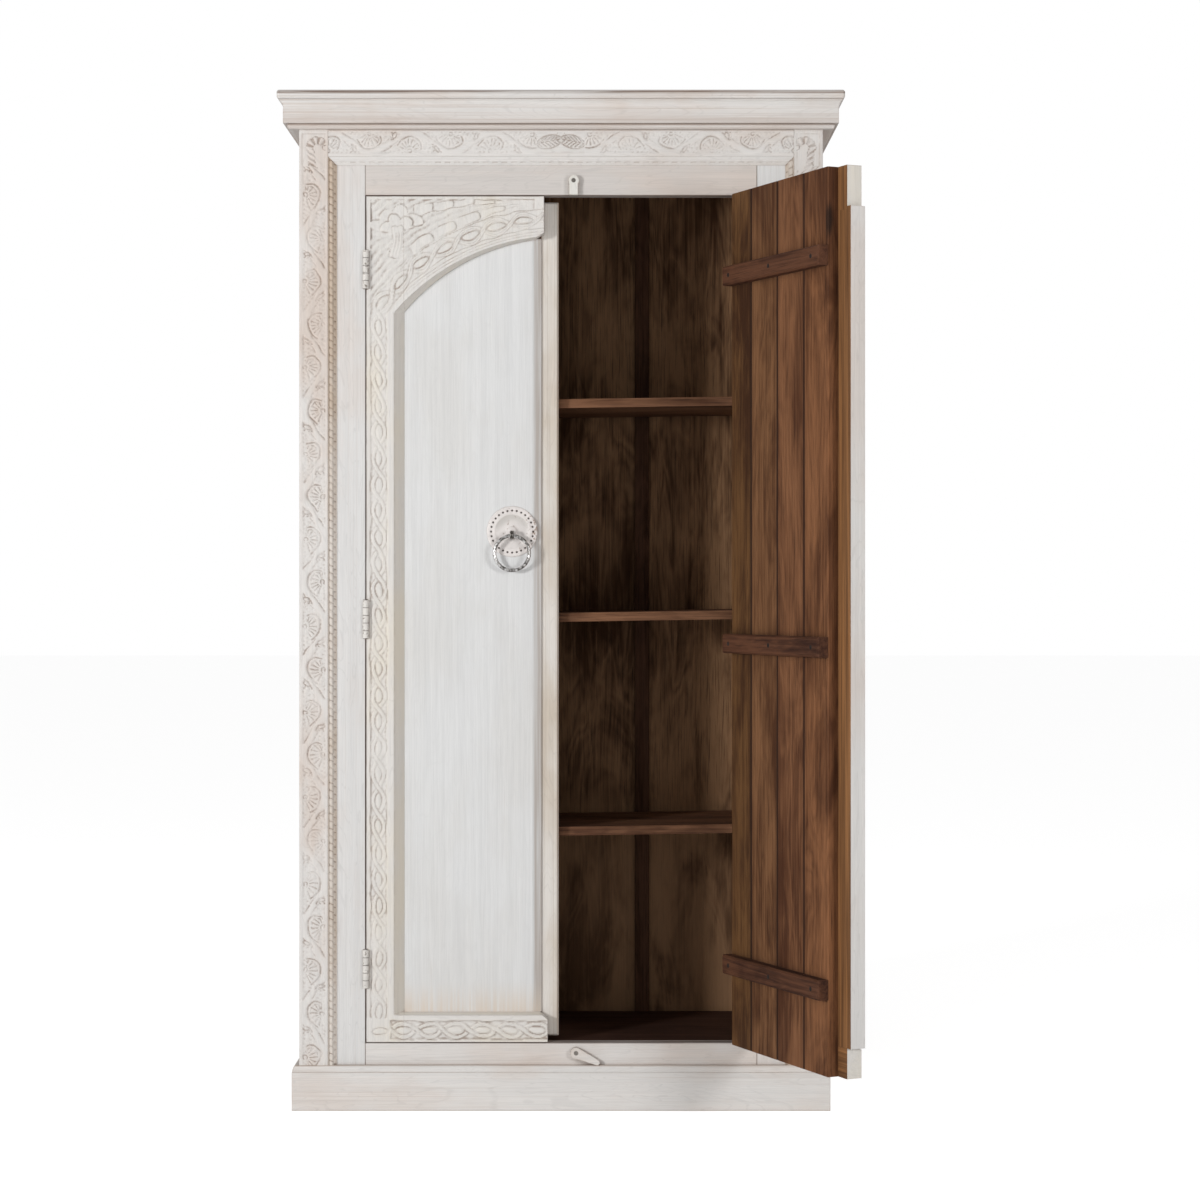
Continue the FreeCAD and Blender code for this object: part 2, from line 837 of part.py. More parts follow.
def foot_height(distance):
    """Height of the foot of the arch's bevel at a distance from the middle."""
    return FOOT_CENTRE + root(FOOT_RADIUS * FOOT_RADIUS - distance * distance)


def recess_outline(side, margin, end):
    """The recess of a door at one depth, widened by a margin, from its end to its stile."""
    edge = RECESS_EDGE + margin
    share = margin / size("bevel_width")
    low = RECESS_BOTTOM - size("rail_bevel_height") * share
    radius = FOOT_RADIUS + (ARCH_RADIUS - FOOT_RADIUS) * share
    centre = FOOT_CENTRE + (ARCH_CENTRE - FOOT_CENTRE) * share
    return [
        (side * end, low),
        (side * edge, low),
        (side * edge, centre + root(radius * radius - edge * edge), radius, side),
        (side * end, centre + root(radius * radius - end * end)),
    ]


def recess_cutter(side, end):
    """What the bevelled recess takes out of the stile, the rail and the spandrel."""
    body = new_body(f"recess_{SIDE_NAMES[side]}")
    slope = size("bevel_width") / size("recess_depth")
    outer = size("bevel_width") + slope * OVERRUN
    front = sketch(body, "XZ_Plane", FRONT - OVERRUN, recess_outline(side, outer, end))
    inner = sketch(body, "XZ_Plane", PANEL_FRONT, recess_outline(side, ZERO, end))
    slopes = body.newObject("PartDesign::AdditiveLoft", "Bevel")
    slopes.Profile = front
    slopes.Sections = [inner]
    slopes.Ruled = True
    pad(body, "XZ_Plane", recess_outline(side, ZERO, end), PANEL_FRONT, FACE_BACK + OVERRUN)
    return body


def arch_chord(side, end):
    """The two low corners of a spandrel blank, just under the arch."""
    return [
        (side * end, foot_height(end) - OVERRUN),
        (side * RECESS_EDGE, foot_height(RECESS_EDGE) - OVERRUN),
    ]


def spandrel_outline(side):
    """Front outline of a spandrel before its arch is cut."""
    if side == RIGHT:
        end = -size("right_overlap")
        meeting = [(side * end, DOOR_TOP)]
        low_end = end
    else:
        low_end = size("notch_edge")
        meeting = [
            (side * size("left_spandrel_end"), DOOR_TOP),
            (side * size("left_spandrel_end"), NOTCH_BOTTOM + size("notch_rise")),
            (side * size("notch_edge"), NOTCH_BOTTOM),
        ]
    return [(side * RECESS_EDGE, DOOR_TOP), *meeting, *arch_chord(side, low_end)]


def rail_outline(side):
    """Front outline of a bottom rail before its bevel is cut."""
    stile_end = [(side * RECESS_EDGE, RECESS_BOTTOM), (side * RECESS_EDGE, DOOR_BOTTOM)]
    if side == RIGHT:
        end = side * (-size("right_overlap"))
        return [*stile_end, (end, DOOR_BOTTOM), (end, RECESS_BOTTOM)]
    end = size("left_rail_end")
    inner = end + size("rail_notch_width")
    return [
        *stile_end,
        (side * end, DOOR_BOTTOM),
        (side * end, RAIL_NOTCH - size("rail_notch_height")),
        (side * inner, RAIL_NOTCH),
        (side * (inner + size("strip_end_gap")), RAIL_NOTCH),
        (side * (inner + size("strip_end_gap")), RECESS_BOTTOM),
    ]


def make_face_layer(side, screw_group):
    """Stile, bottom rail and spandrel round the recess, and the panel in it."""
    door = f"{SIDE_NAMES[side]}_door"
    opened = side == RIGHT
    inner_end = -size("right_overlap") if opened else size("left_rail_end")
    recess = recess_cutter(side, inner_end - OVERRUN)
    stile_blank = board(
        f"{door}_stile_blank",
        (side * RECESS_EDGE, side * DOOR_EDGE),
        (FRONT, FACE_BACK),
        (DOOR_BOTTOM, DOOR_TOP),
        False,
    )
    cut_hinge_seats(stile_blank, side, True)
    name_node(cut(f"{door}_stile", stile_blank, [recess, screw_group]), f"{door}_stile", opened)
    outlines = {"rail": rail_outline(side), "spandrel": spandrel_outline(side)}
    shaped = {}
    for label, outline in outlines.items():
        blank = new_body(f"{door}_{label}_blank")
        pad(blank, "XZ_Plane", outline, FRONT, FACE_BACK)
        shaped[label] = cut(f"{door}_{label}_shaped", blank, [recess])
        name_node(group(f"{door}_{label}", [shaped[label]]), f"{door}_{label}", opened)
    name_node(make_panel(side), f"{door}_panel", opened)
    return list(shaped.values())


def make_panel(side):
    """The flat panel at the bottom of the recess; the left one thins towards its free edge."""
    body = new_body(f"{SIDE_NAMES[side]}_door_panel")
    arch_start = (side * RECESS_EDGE, foot_height(RECESS_EDGE), FOOT_RADIUS, side)
    if side == RIGHT:
        end = size("strip_half_width")
        free_edge = [(side * end, foot_height(end))]
    else:
        end = size("left_panel_edge")
        tab = size("notch_edge")
        free_edge = [
            (side * tab, foot_height(tab)),
            (side * tab, NOTCH_BOTTOM),
            (side * end, NOTCH_BOTTOM),
        ]
    low_edge = [(side * end, RECESS_BOTTOM), (side * RECESS_EDGE, RECESS_BOTTOM)]
    pad(body, "XZ_Plane", [*low_edge, arch_start, *free_edge], PANEL_FRONT, FACE_BACK)
    if side == LEFT:
        slope_start = end + size("margin_width")
        wedge = [
            (side * slope_start, PANEL_FRONT),
            (side * end, PANEL_FRONT + size("margin_drop")),
            (side * end, PANEL_FRONT),
        ]
        pocket(body, "XY_Plane", wedge)
    return body


def make_meeting_edge(side, face_parts):
    """The closing lip of the left door, or the cover strip of the right one."""
    if side == LEFT:
        body = new_body("left_door_lip")
        block(
            body,
            "Additive",
            (side * size("lip_edge"), side * size("left_panel_edge")),
            (FACE_BACK + size("lip_setback"), PLANK_BACK),
            (DOOR_BOTTOM + size("lip_end_gap"), DOOR_TOP - size("lip_end_gap")),
        )
        front_edge = (FACE_BACK + size("lip_setback")).number
        break_edges(
            body,
            size("lip_edge_break"),
            lambda edge: edge.BoundBox.YMax < front_edge + edge.Length / 1000
            and edge.BoundBox.XMax > (side * size("left_panel_edge")).number,
        )
        name_node(body, "left_door_lip")
        return
    strip_half = size("strip_half_width")
    slope = size("notch_rise") / (size("notch_edge") - size("left_spandrel_end"))
    strip_top = NOTCH_BOTTOM + slope * (size("notch_edge") - strip_half) - size("strip_end_gap")
    body = new_body("right_door_strip_blank")
    block(
        body,
        "Additive",
        (-strip_half, strip_half),
        (FRONT, FACE_BACK),
        (RAIL_NOTCH + size("strip_end_gap"), strip_top),
    )
    strip = cut("right_door_cover_strip", body, face_parts)
    name_node(strip, "right_door_cover_strip", True)


def batten_levels():
    """Middle height of each batten, placed in the bays between floor, shelves and door top."""
    lower_shelf, middle_shelf, upper_shelf = SHELF_TOPS
    below_lower = lower_shelf - size("shelf_thickness")
    below_middle = middle_shelf - size("shelf_thickness")
    return (
        SILL + LOWER_BATTEN_SHARE * (below_lower - SILL),
        lower_shelf + MIDDLE_BATTEN_SHARE * (below_middle - lower_shelf),
        upper_shelf + UPPER_BATTEN_SHARE * (DOOR_TOP - upper_shelf),
    )


def door_screw_places(side, free_edge):
    """Screws of one door: two in each hinge leaf and three in each batten."""
    places = leaf_screw_places(side, True)
    width = DOOR_EDGE - free_edge
    face = PLANK_BACK + size("batten_thickness")
    for level in batten_levels():
        for share in BATTEN_SCREW_SHARES:
            places.append(((side * (free_edge + share * width), face, level), TO_FRONT))
    return places


def on_back_and_upright(edge):
    """Tell whether an edge of a plank is upright and on its inner face."""
    box = edge.BoundBox
    return box.ZLength > edge.Length / 2 and box.YMin > FACE_BACK.number + edge.Length / 1000


def make_planks_and_battens(side, free_edge, screw_group):
    """The planks at the back of a door and the battens across them."""
    door = f"{SIDE_NAMES[side]}_door"
    opened = side == RIGHT
    width = DOOR_EDGE - free_edge
    outer = DOOR_EDGE
    for number, share in enumerate(PLANK_WIDTH_SHARES, start=1):
        inner = outer - share * width if number < len(PLANK_WIDTH_SHARES) else free_edge
        blank = board(
            f"{door}_plank_blank_{number}",
            (side * inner, side * outer),
            (FACE_BACK, PLANK_BACK),
            (DOOR_BOTTOM, DOOR_TOP),
            False,
        )
        break_edges(blank, size("plank_edge_break"), on_back_and_upright)
        plank = cut(f"{door}_plank_{number}", blank, [screw_group])
        name_node(plank, f"{door}_plank_{number}", opened)
        outer = inner
    battens = []
    half = size("batten_height") / 2
    for level in batten_levels():
        batten = board(
            "batten",
            (side * free_edge, side * DOOR_EDGE),
            (PLANK_BACK, PLANK_BACK + size("batten_thickness")),
            (level - half, level + half),
            False,
        )
        face = (PLANK_BACK + size("batten_thickness")).number
        break_edges(
            batten,
            size("batten_edge_break"),
            lambda edge: edge.BoundBox.YMin > face - edge.Length / 1000,
        )
        battens.append(batten)
    joined = cut(f"{door}_battens", group(f"{door}_batten_blanks", battens), [screw_group])
    name_node(joined, f"{door}_battens", opened)


def make_ring_pull(side):
    """The pierced plate with its staple and eye, and the ring that hangs in the eye."""
    door = SIDE_NAMES[side]
    opened = side == RIGHT
    middle = side * size("ring_from_middle")
    level = size("plate_centre_height")
    plate_face = PANEL_FRONT - size("plate_thickness")
    eye_y = plate_face - size("eye_reach")
    eye_level = level - size("eye_drop")
    body = new_body(f"{door}_ring_plate")
    cylinder(
        body,
        "Additive",
        (middle, PANEL_FRONT, level),
        size("plate_radius"),
        size("plate_thickness"),
        TO_FRONT,
    )
    cylinder(
        body,
        "Subtractive",
        (middle, plate_face + size("plate_rim_height"), level),
        size("plate_dish_radius"),
        size("plate_rim_height") + OVERRUN,
        TO_FRONT,
    )
    cylinder(
        body,
        "Additive",
        (middle, PANEL_FRONT, level),
        size("boss_radius"),
        size("plate_thickness") + size("boss_height"),
        TO_FRONT,
    )
    cylinder(
        body,
        "Additive",
        (middle, PANEL_FRONT, level),
        size("staple_radius"),
        PANEL_FRONT - eye_y,
        TO_FRONT,
    )
    eye_side = middle - size("eye_width") / 2
    cylinder(
        body,
        "Additive",
        (eye_side, eye_y, eye_level),
        size("eye_radius"),
        size("eye_width"),
        TO_SIDE[RIGHT],
    )
    cylinder(
        body,
        "Subtractive",
        (eye_side - OVERRUN, eye_y, eye_level),
        size("eye_hole_radius"),
        size("eye_width") + 2 * OVERRUN,
        TO_SIDE[RIGHT],
    )
    pierce_plate(body, middle, level)
    name_node(body, f"{door}_ring_plate", opened)
    ring = new_body(f"{door}_ring")
    torus = ring.newObject("PartDesign::AdditiveTorus", "Wire")
    bind(torus, "Radius1", size("ring_radius"))
    bind(torus, "Radius2", size("ring_wire_radius"))
    play = size("eye_hole_radius") - size("ring_wire_radius") - size("ring_rest_gap")
    place(torus, (middle, eye_y, eye_level - play - size("ring_radius")), TO_FRONT)
    name_node(ring, f"{door}_ring", opened)


def pierce_plate(body, middle, level):
    """A circle of small holes near the rim of the ring plate."""
    for count in range(PLATE_HOLE_COUNT):
        angle = 2 * math.pi * count / PLATE_HOLE_COUNT
        hole = (
            middle + math.cos(angle) * size("plate_hole_circle"),
            PANEL_FRONT + OVERRUN,
            level + math.sin(angle) * size("plate_hole_circle"),
        )
        cylinder(
            body,
            "Subtractive",
            hole,
            size("plate_hole_radius"),
            size("plate_thickness") + 2 * OVERRUN,
            TO_FRONT,
        )


def make_door(side):
    """Everything that one door carries."""
    door = f"{SIDE_NAMES[side]}_door"
    opened = side == RIGHT
    free_edge = size("right_plank_edge") if opened else size("left_panel_edge")
    in_place = screws(f"{door}_screws_in_place", door_screw_places(side, free_edge))
    name_node(group(f"{door}_screws", [in_place]), f"{door}_screws", opened)
    face_parts = make_face_layer(side, in_place)
    make_meeting_edge(side, face_parts)
    make_planks_and_battens(side, free_edge, in_place)
    leaves = [hinge_leaf(side, level, True) for level in HINGE_LEVELS]
    joined = cut(f"{door}_hinge_leaves", group(f"{door}_leaves", leaves), [in_place])
    name_node(joined, f"{door}_hinge_leaves", opened)
    make_ring_pull(side)


def button_pivots():
    """Pivot (X, Z) of the top and the bottom turn button."""
    top = (size("top_button_offset"), OPENING_TOP + size("top_button_height"))
    bottom = (size("low_button_offset"), PLINTH_TOP + size("low_button_height"))
    return top, bottom


def turn_screw_places():
    """Screws that the turn buttons swing on."""
    face = FRONT - size("button_gap") - size("button_thickness")
    return [((x, face, z), TO_BACK) for x, z in button_pivots()]


def bore_button(body):
    """Bore and countersink a turn button about its own origin, with running clearance."""
    clearance = size("button_screw_clearance")
    face = -size("button_thickness")
    cylinder(
        body,
        "Subtractive",
        (ZERO, face - OVERRUN, ZERO),
        size("screw_shank_radius") + clearance,
        size("button_thickness") + 2 * OVERRUN,
        TO_BACK,
    )
    sink = body.newObject("PartDesign::SubtractiveCone", "Countersink")
    bind(sink, "Radius1", size("screw_head_radius") + clearance)
    bind(sink, "Radius2", size("screw_shank_radius") + clearance)
    bind(sink, "Height", size("screw_head_depth"))
    place(sink, (ZERO, face, ZERO), TO_BACK)


def make_turn_buttons():
    """The two wooden buttons on the frame, each drawn about its own pivot."""
    (top_x, top_z), (low_x, low_z) = button_pivots()
    seat = FRONT - size("button_gap")
    top = new_body("turn_button_top")
    head = size("top_button_head")
    half_neck = size("top_button_neck") / 2
    rise = root(head * head - half_neck * half_neck)
    flat_end = -size("top_button_height")
    outline = [
        (half_neck, flat_end),
        (half_neck, -rise, head, 1),
        (ZERO, head, head, 1),
        (-half_neck, -rise),
        (-half_neck, flat_end),
    ]
    pad(top, "XZ_Plane", outline, -size("button_thickness"), ZERO)
    bore_button(top)
    place(top, (top_x, seat, top_z))
    name_node(top, "turn_button_top")
    low = new_body("turn_button_bottom")
    head = size("low_button_head")
    tip = size("low_button_tip")
    tail = size("low_button_tail")
    lean = (head - tip) / tail
    spread = root(1 - lean * lean)
    outline = [
        (lean * head, spread * head, head, 1),
        (-head, ZERO, head, 1),
        (lean * head, -spread * head),
        (tail + lean * tip, -spread * tip, tip, 1),
        (tail + tip, ZERO, tip, 1),
        (tail + lean * tip, spread * tip),
    ]
    pad(low, "XZ_Plane", outline, -size("button_thickness"), ZERO)
    bore_button(low)
    sink = (size("low_button_height") - tip - size("button_rest_gap")) / tail
    angle = Value(math.degrees(math.asin(sink.number)), f"asin({sink.text})")
    place(low, (low_x, seat, low_z), FreeCAD.Rotation(FreeCAD.Vector(0, 1, 0), angle.number))
    bind(low, "Placement.Rotation.Angle", angle)
    name_node(low, "turn_button_bottom")


def check_and_write():
    """Stop on any failed object or shape, then write one file for each sub-part."""
    failed = [
        thing.Label
        for thing in doc.Objects
        if "Invalid" in thing.State or "Error" in thing.State
    ]
    if failed:
        raise RuntimeError(f"failed objects: {failed}")
    for node in nodes:
        if node.Shape.isNull() or not node.Shape.isValid() or not node.Shape.Solids:
            raise RuntimeError(f"bad shape: {node.Label}")
    os.makedirs("parts", exist_ok=True)
    for node in nodes:
        node.Shape.exportStep(f"parts/{node.Label}.step")
    solids = sum(len(node.Shape.Solids) for node in nodes)
    print(f"{len(nodes)} sub-parts, {solids} solids")


make_plinth_and_cornice()
make_carcass()
make_face_frame()
make_frame_hinges()
make_door(LEFT)
make_door(RIGHT)
make_turn_buttons()
doc.recompute()
check_and_write()
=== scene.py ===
"""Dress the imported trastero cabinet: limewashed boards, carved borders, ring pulls and a plain studio."""

import logging
import math
from dataclasses import dataclass
from enum import Enum

import bmesh
import bpy
import numpy as np
from mathutils import Matrix, Vector


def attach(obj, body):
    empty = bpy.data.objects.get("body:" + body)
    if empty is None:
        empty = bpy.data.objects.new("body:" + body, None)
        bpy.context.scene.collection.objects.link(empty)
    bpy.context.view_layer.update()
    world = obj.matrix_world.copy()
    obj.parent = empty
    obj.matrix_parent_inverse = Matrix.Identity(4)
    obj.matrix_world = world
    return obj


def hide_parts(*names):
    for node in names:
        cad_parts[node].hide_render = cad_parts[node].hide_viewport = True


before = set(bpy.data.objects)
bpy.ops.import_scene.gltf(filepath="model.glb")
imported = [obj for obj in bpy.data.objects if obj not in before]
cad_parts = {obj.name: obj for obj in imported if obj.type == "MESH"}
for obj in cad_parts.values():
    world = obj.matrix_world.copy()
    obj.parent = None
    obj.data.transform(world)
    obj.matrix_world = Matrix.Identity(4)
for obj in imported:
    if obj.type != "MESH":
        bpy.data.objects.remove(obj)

LOG = logging.getLogger("trastero")

MM = 0.001
Colour = tuple[float, float, float]
Heights = np.ndarray
Node = bpy.types.Node
Socket = bpy.types.NodeSocket

# Sine and cosine of the right door's 115 degrees.
OPEN_SINE = 0.906308
OPEN_COSINE = -0.422618


class Side(Enum):
    """The two doors and the two sides of the cabinet."""

    LEFT = -1
    RIGHT = 1


class Grain(Enum):
    """The way a board's grain runs, as a direction in the cabinet's frame."""

    UPRIGHT = (0.0, 0.0, 1.0)
    ACROSS = (1.0, 0.0, 0.0)
    DEEP = (0.0, 1.0, 0.0)
    ACROSS_OPEN = (OPEN_COSINE, OPEN_SINE, 0.0)


@dataclass(frozen=True)
class Layout:
    """Places that several sub-assemblies share, in millimetres and degrees, as the solids have them."""

    half_body: float = 470.5
    front: float = -184.0
    border_face: float = -192.0
    border_edge: float = 418.5
    plinth_top: float = 81.0
    border_bottom: float = 1714.0
    cornice_bottom: float = 1762.0
    door_edge: float = 350.5
    door_bottom: float = 121.5
    door_top: float = 1643.5
    face_back: float = -156.0
    panel_front: float = -164.0
    arris: float = 301.4
    recess_edge: float = 283.2
    rail_top: float = 169.3
    rail_foot: float = 172.8
    bevel: float = 18.2
    recess: float = 20.0
    arch_radius: float = 396.27
    arch_centre: float = 1176.23
    foot_radius: float = 367.14
    foot_centre: float = 1203.36
    band_centre: float = 1172.73
    notch_edge: float = 44.0
    notch_rise: float = 8.5
    pin_x: float = 351.25
    pin_y: float = -187.0
    open_angle: float = 115.0


LAYOUT = Layout()

SHARP_ANGLE = math.radians(50.0)

# Direction and pace of each wave that hand work's unevenness is made of.
WANDER_WAVES = ((0.4, 1.0), (1.5, 0.81), (2.5, 1.27), (3.9, 1.09), (5.2, 0.67))

# A direction and the place along it, in metres, past which a board's wood has no paint.
FACE_BACK = (0.0, 1.0, 0.0, -0.1565)
OPEN_FACE_BACK = (-OPEN_SINE, OPEN_COSINE, 0.0, -0.2088)


def ease(value: Heights) -> Heights:
    """Rise smoothly from 0 to 1 as the value goes from 0 to 1."""
    held = np.clip(value, 0.0, 1.0)
    return held * held * (3.0 - 2.0 * held)


def ridge(distance: Heights, half_width: float, shoulder: float) -> Heights:
    """Give the section of a flat-topped ridge.

    Args:
        distance: Distance from the ridge's middle line.
        half_width: Half the ridge's width at its foot.
        shoulder: Width of each rounded shoulder.

    Returns:
        1 on the top, 0 outside.
    """
    return ease((half_width - np.abs(distance)) / shoulder)


def line(distance: Heights, half_width: float) -> Heights:
    """Give a fine rounded groove: 1 in its middle and 0 away from it."""
    return np.exp(-((distance / half_width) ** 2))


def wander(across: Heights, up: Heights, size: float, seed: float) -> Heights:
    """Give the slow unevenness of hand work, between about -1 and 1.

    Args:
        across: First coordinate of each point.
        up: Second coordinate.
        size: Length of one swing.
        seed: Any number; another one gives another pattern.

    Returns:
        The unevenness at each point.
    """
    total = np.zeros_like(across)
    for turn, pace in WANDER_WAVES:
        direction = across * math.cos(turn + seed) + up * math.sin(turn + seed)
        total = total + np.sin(direction * (math.tau * pace / size) + 7.3 * seed * pace)
    return total / 2.6


def blurred(heights: Heights, reach: int) -> Heights:
    """Blur a relief with a square window.

    Args:
        heights: The relief.
        reach: Steps from the window's middle to its edge.

    Returns:
        The blurred relief.
    """
    padded = np.pad(heights, reach, mode="edge")
    total = np.cumsum(np.cumsum(padded, axis=0), axis=1)
    total = np.pad(total, ((1, 0), (1, 0)))
    width = 2 * reach + 1
    strips = total[width:] - total[:-width]
    return (strips[:, width:] - strips[:, :-width]) / width**2


def open_turn() -> Matrix:
    """Give the turn about the right door's hinge line, from closed to where it stands open.

    Returns:
        The turn, in metres.
    """
    pin = Vector((LAYOUT.pin_x, LAYOUT.pin_y, 0.0)) * MM
    turn = Matrix.Rotation(math.radians(LAYOUT.open_angle), 4, "Z")
    return Matrix.Translation(pin) @ turn @ Matrix.Translation(-pin)


class Tree:
    """A shader node tree with short ways to add nodes and join them."""

    def __init__(self, tree: bpy.types.NodeTree) -> None:
        """Keep the tree that nodes are added to."""
        self.tree = tree

    def add(self, kind: str, **settings: object) -> Node:
        """Add a node.

        Args:
            kind: The node's type.
            **settings: Its properties.

        Returns:
            The node.
        """
        node = self.tree.nodes.new(kind)
        for name, value in settings.items():
            setattr(node, name, value)
        return node

    def put(self, socket: Socket, value: object) -> None:
        """Join a socket to an input, or set the input's own value.

        Args:
            socket: The input.
            value: A socket, a number, a vector or a colour.
        """
        if isinstance(value, Socket):
            self.tree.links.new(value, socket)
        elif isinstance(value, tuple) and len(value) == 3 and socket.type == "RGBA":
            socket.default_value = (*value, 1.0)
        else:
            socket.default_value = value

    def math(self, operation: str, first: object, second: object = 0.0, clamp: bool = False) -> Socket:
        """Add one arithmetic step.

        Args:
            operation: The step's name.
            first: Its first value.
            second: Its second value.
            clamp: Whether the result is held between 0 and 1.

        Returns:
            The result.
        """
        node = self.add("ShaderNodeMath", operation=operation, use_clamp=clamp)
        self.put(node.inputs[0], first)
        self.put(node.inputs[1], second)
        return node.outputs[0]

    def plus(self, first: object, second: object, clamp: bool = False) -> Socket:
        """Add two values."""
        return self.math("ADD", first, second, clamp)

    def minus(self, first: object, second: object) -> Socket:
        """Take the second value from the first."""
        return self.math("SUBTRACT", first, second)

    def times(self, first: object, second: object, clamp: bool = False) -> Socket:
        """Multiply two values."""
        return self.math("MULTIPLY", first, second, clamp)

    def lower(self, first: object, second: object) -> Socket:
        """Give the smaller of two values."""
        return self.math("MINIMUM", first, second)

    def higher(self, first: object, second: object) -> Socket:
        """Give the larger of two values."""
        return self.math("MAXIMUM", first, second)

    def vector_math(self, operation: str, first: object, second: object = None) -> Node:
        """Add one step on vectors.

        Args:
            operation: The step's name.
            first: Its first vector.
            second: Its second vector, where it takes one.

        Returns:
            The step's node.
        """
        node = self.add("ShaderNodeVectorMath", operation=operation)
        self.put(node.inputs[0], first)
        if second is not None:
            self.put(node.inputs[1], second)
        return node

    def parts(self, vector: object) -> Node:
        """Split a vector into its three parts.

        Args:
            vector: The vector.

        Returns:
            The node whose outputs are the parts.
        """
        node = self.add("ShaderNodeSeparateXYZ")
        self.put(node.inputs[0], vector)
        return node

    def place(self) -> Socket:
        """Give the object's own coordinates."""
        return self.add("ShaderNodeTexCoord").outputs["Object"]

    def attribute(self, name: str) -> Socket:
        """Give a value that the mesh keeps for each point."""
        return self.add("ShaderNodeAttribute", attribute_name=name).outputs["Fac"]

    def mix(self, factor: object, first: object, second: object, blend: str = "MIX") -> Socket:
        """Mix two colours.

        Args:
            factor: The second colour's share.
            first: The first colour.
            second: The second colour.
            blend: The way they are mixed.

        Returns:
            The mixed colour.
        """
        node = self.add("ShaderNodeMix", data_type="RGBA", blend_type=blend)
        self.put(node.inputs[0], factor)
        self.put(node.inputs[6], first)
        self.put(node.inputs[7], second)
        return node.outputs[2]

    def span(
        self, value: object, low: float, high: float, start: object = 0.0, end: object = 1.0,
    ) -> Socket:
        """Map a value smoothly from one span to another.

        Args:
            value: The value.
            low: One end of its span.
            high: The other end.
            start: The result at the first end and past it.
            end: The result at the other end and past it.

        Returns:
            The result.
        """
        node = self.add("ShaderNodeMapRange", interpolation_type="SMOOTHSTEP")
        for index, item in enumerate((value, low, high, start, end)):
            self.put(node.inputs[index], item)
        return node.outputs[0]

    def mapping(
        self, vector: object, scale: Colour, turn: Colour = (0.0, 0.0, 0.0), shift: Colour = (0.0, 0.0, 0.0),
    ) -> Socket:
        """Scale, turn and shift a vector.

        Args:
            vector: The vector.
            scale: Factor of each part.
            turn: Turn about each axis, in radians.
            shift: What is added in the end.

        Returns:
            The new vector.
        """
        node = self.add("ShaderNodeMapping")
        self.put(node.inputs["Vector"], vector)
        self.put(node.inputs["Scale"], scale)
        self.put(node.inputs["Rotation"], turn)
        self.put(node.inputs["Location"], shift)
        return node.outputs[0]

    def noise(
        self, vector: object, scale: float, detail: float = 3.0, roughness: float = 0.55,
        distortion: float = 0.0,
    ) -> Socket:
        """Add a noise pattern.

        Args:
            vector: Where it is read.
            scale: How fine it is.
            detail: How many finer layers it has.
            roughness: How much each finer layer counts.
            distortion: How far it is warped.

        Returns:
            The pattern's value.
        """
        node = self.add("ShaderNodeTexNoise")
        self.put(node.inputs["Vector"], vector)
        self.put(node.inputs["Scale"], scale)
        self.put(node.inputs["Detail"], detail)
        self.put(node.inputs["Roughness"], roughness)
        self.put(node.inputs["Distortion"], distortion)
        return node.outputs[0]

    def effect(self, group: bpy.types.NodeTree, **values: object) -> Node:
        """Place a shared effect.

        Args:
            group: The effect.
            **values: Value of each input, with an underscore for a space in its name.

        Returns:
            The effect's node.
        """
        node = self.add("ShaderNodeGroup", node_tree=group)
        for name, value in values.items():
            self.put(node.inputs[name.replace("_", " ")], value)
        return node


def new_effect(name: str, inputs: dict[str, str], outputs: dict[str, str]) -> tuple[Tree, Node, Node]:
    """Start a shader node group.

    Args:
        name: The group's name.
        inputs: Name and socket kind of each input.
        outputs: Name and socket kind of each output.

    Returns:
        The group's tree, its input node and its output node.
    """
    group = bpy.data.node_groups.new(name, "ShaderNodeTree")
    for label, kind in inputs.items():
        group.interface.new_socket(name=label, in_out="INPUT", socket_type=f"NodeSocket{kind}")
    for label, kind in outputs.items():
        group.interface.new_socket(name=label, in_out="OUTPUT", socket_type=f"NodeSocket{kind}")
    tree = Tree(group)
    return tree, tree.add("NodeGroupInput"), tree.add("NodeGroupOutput")


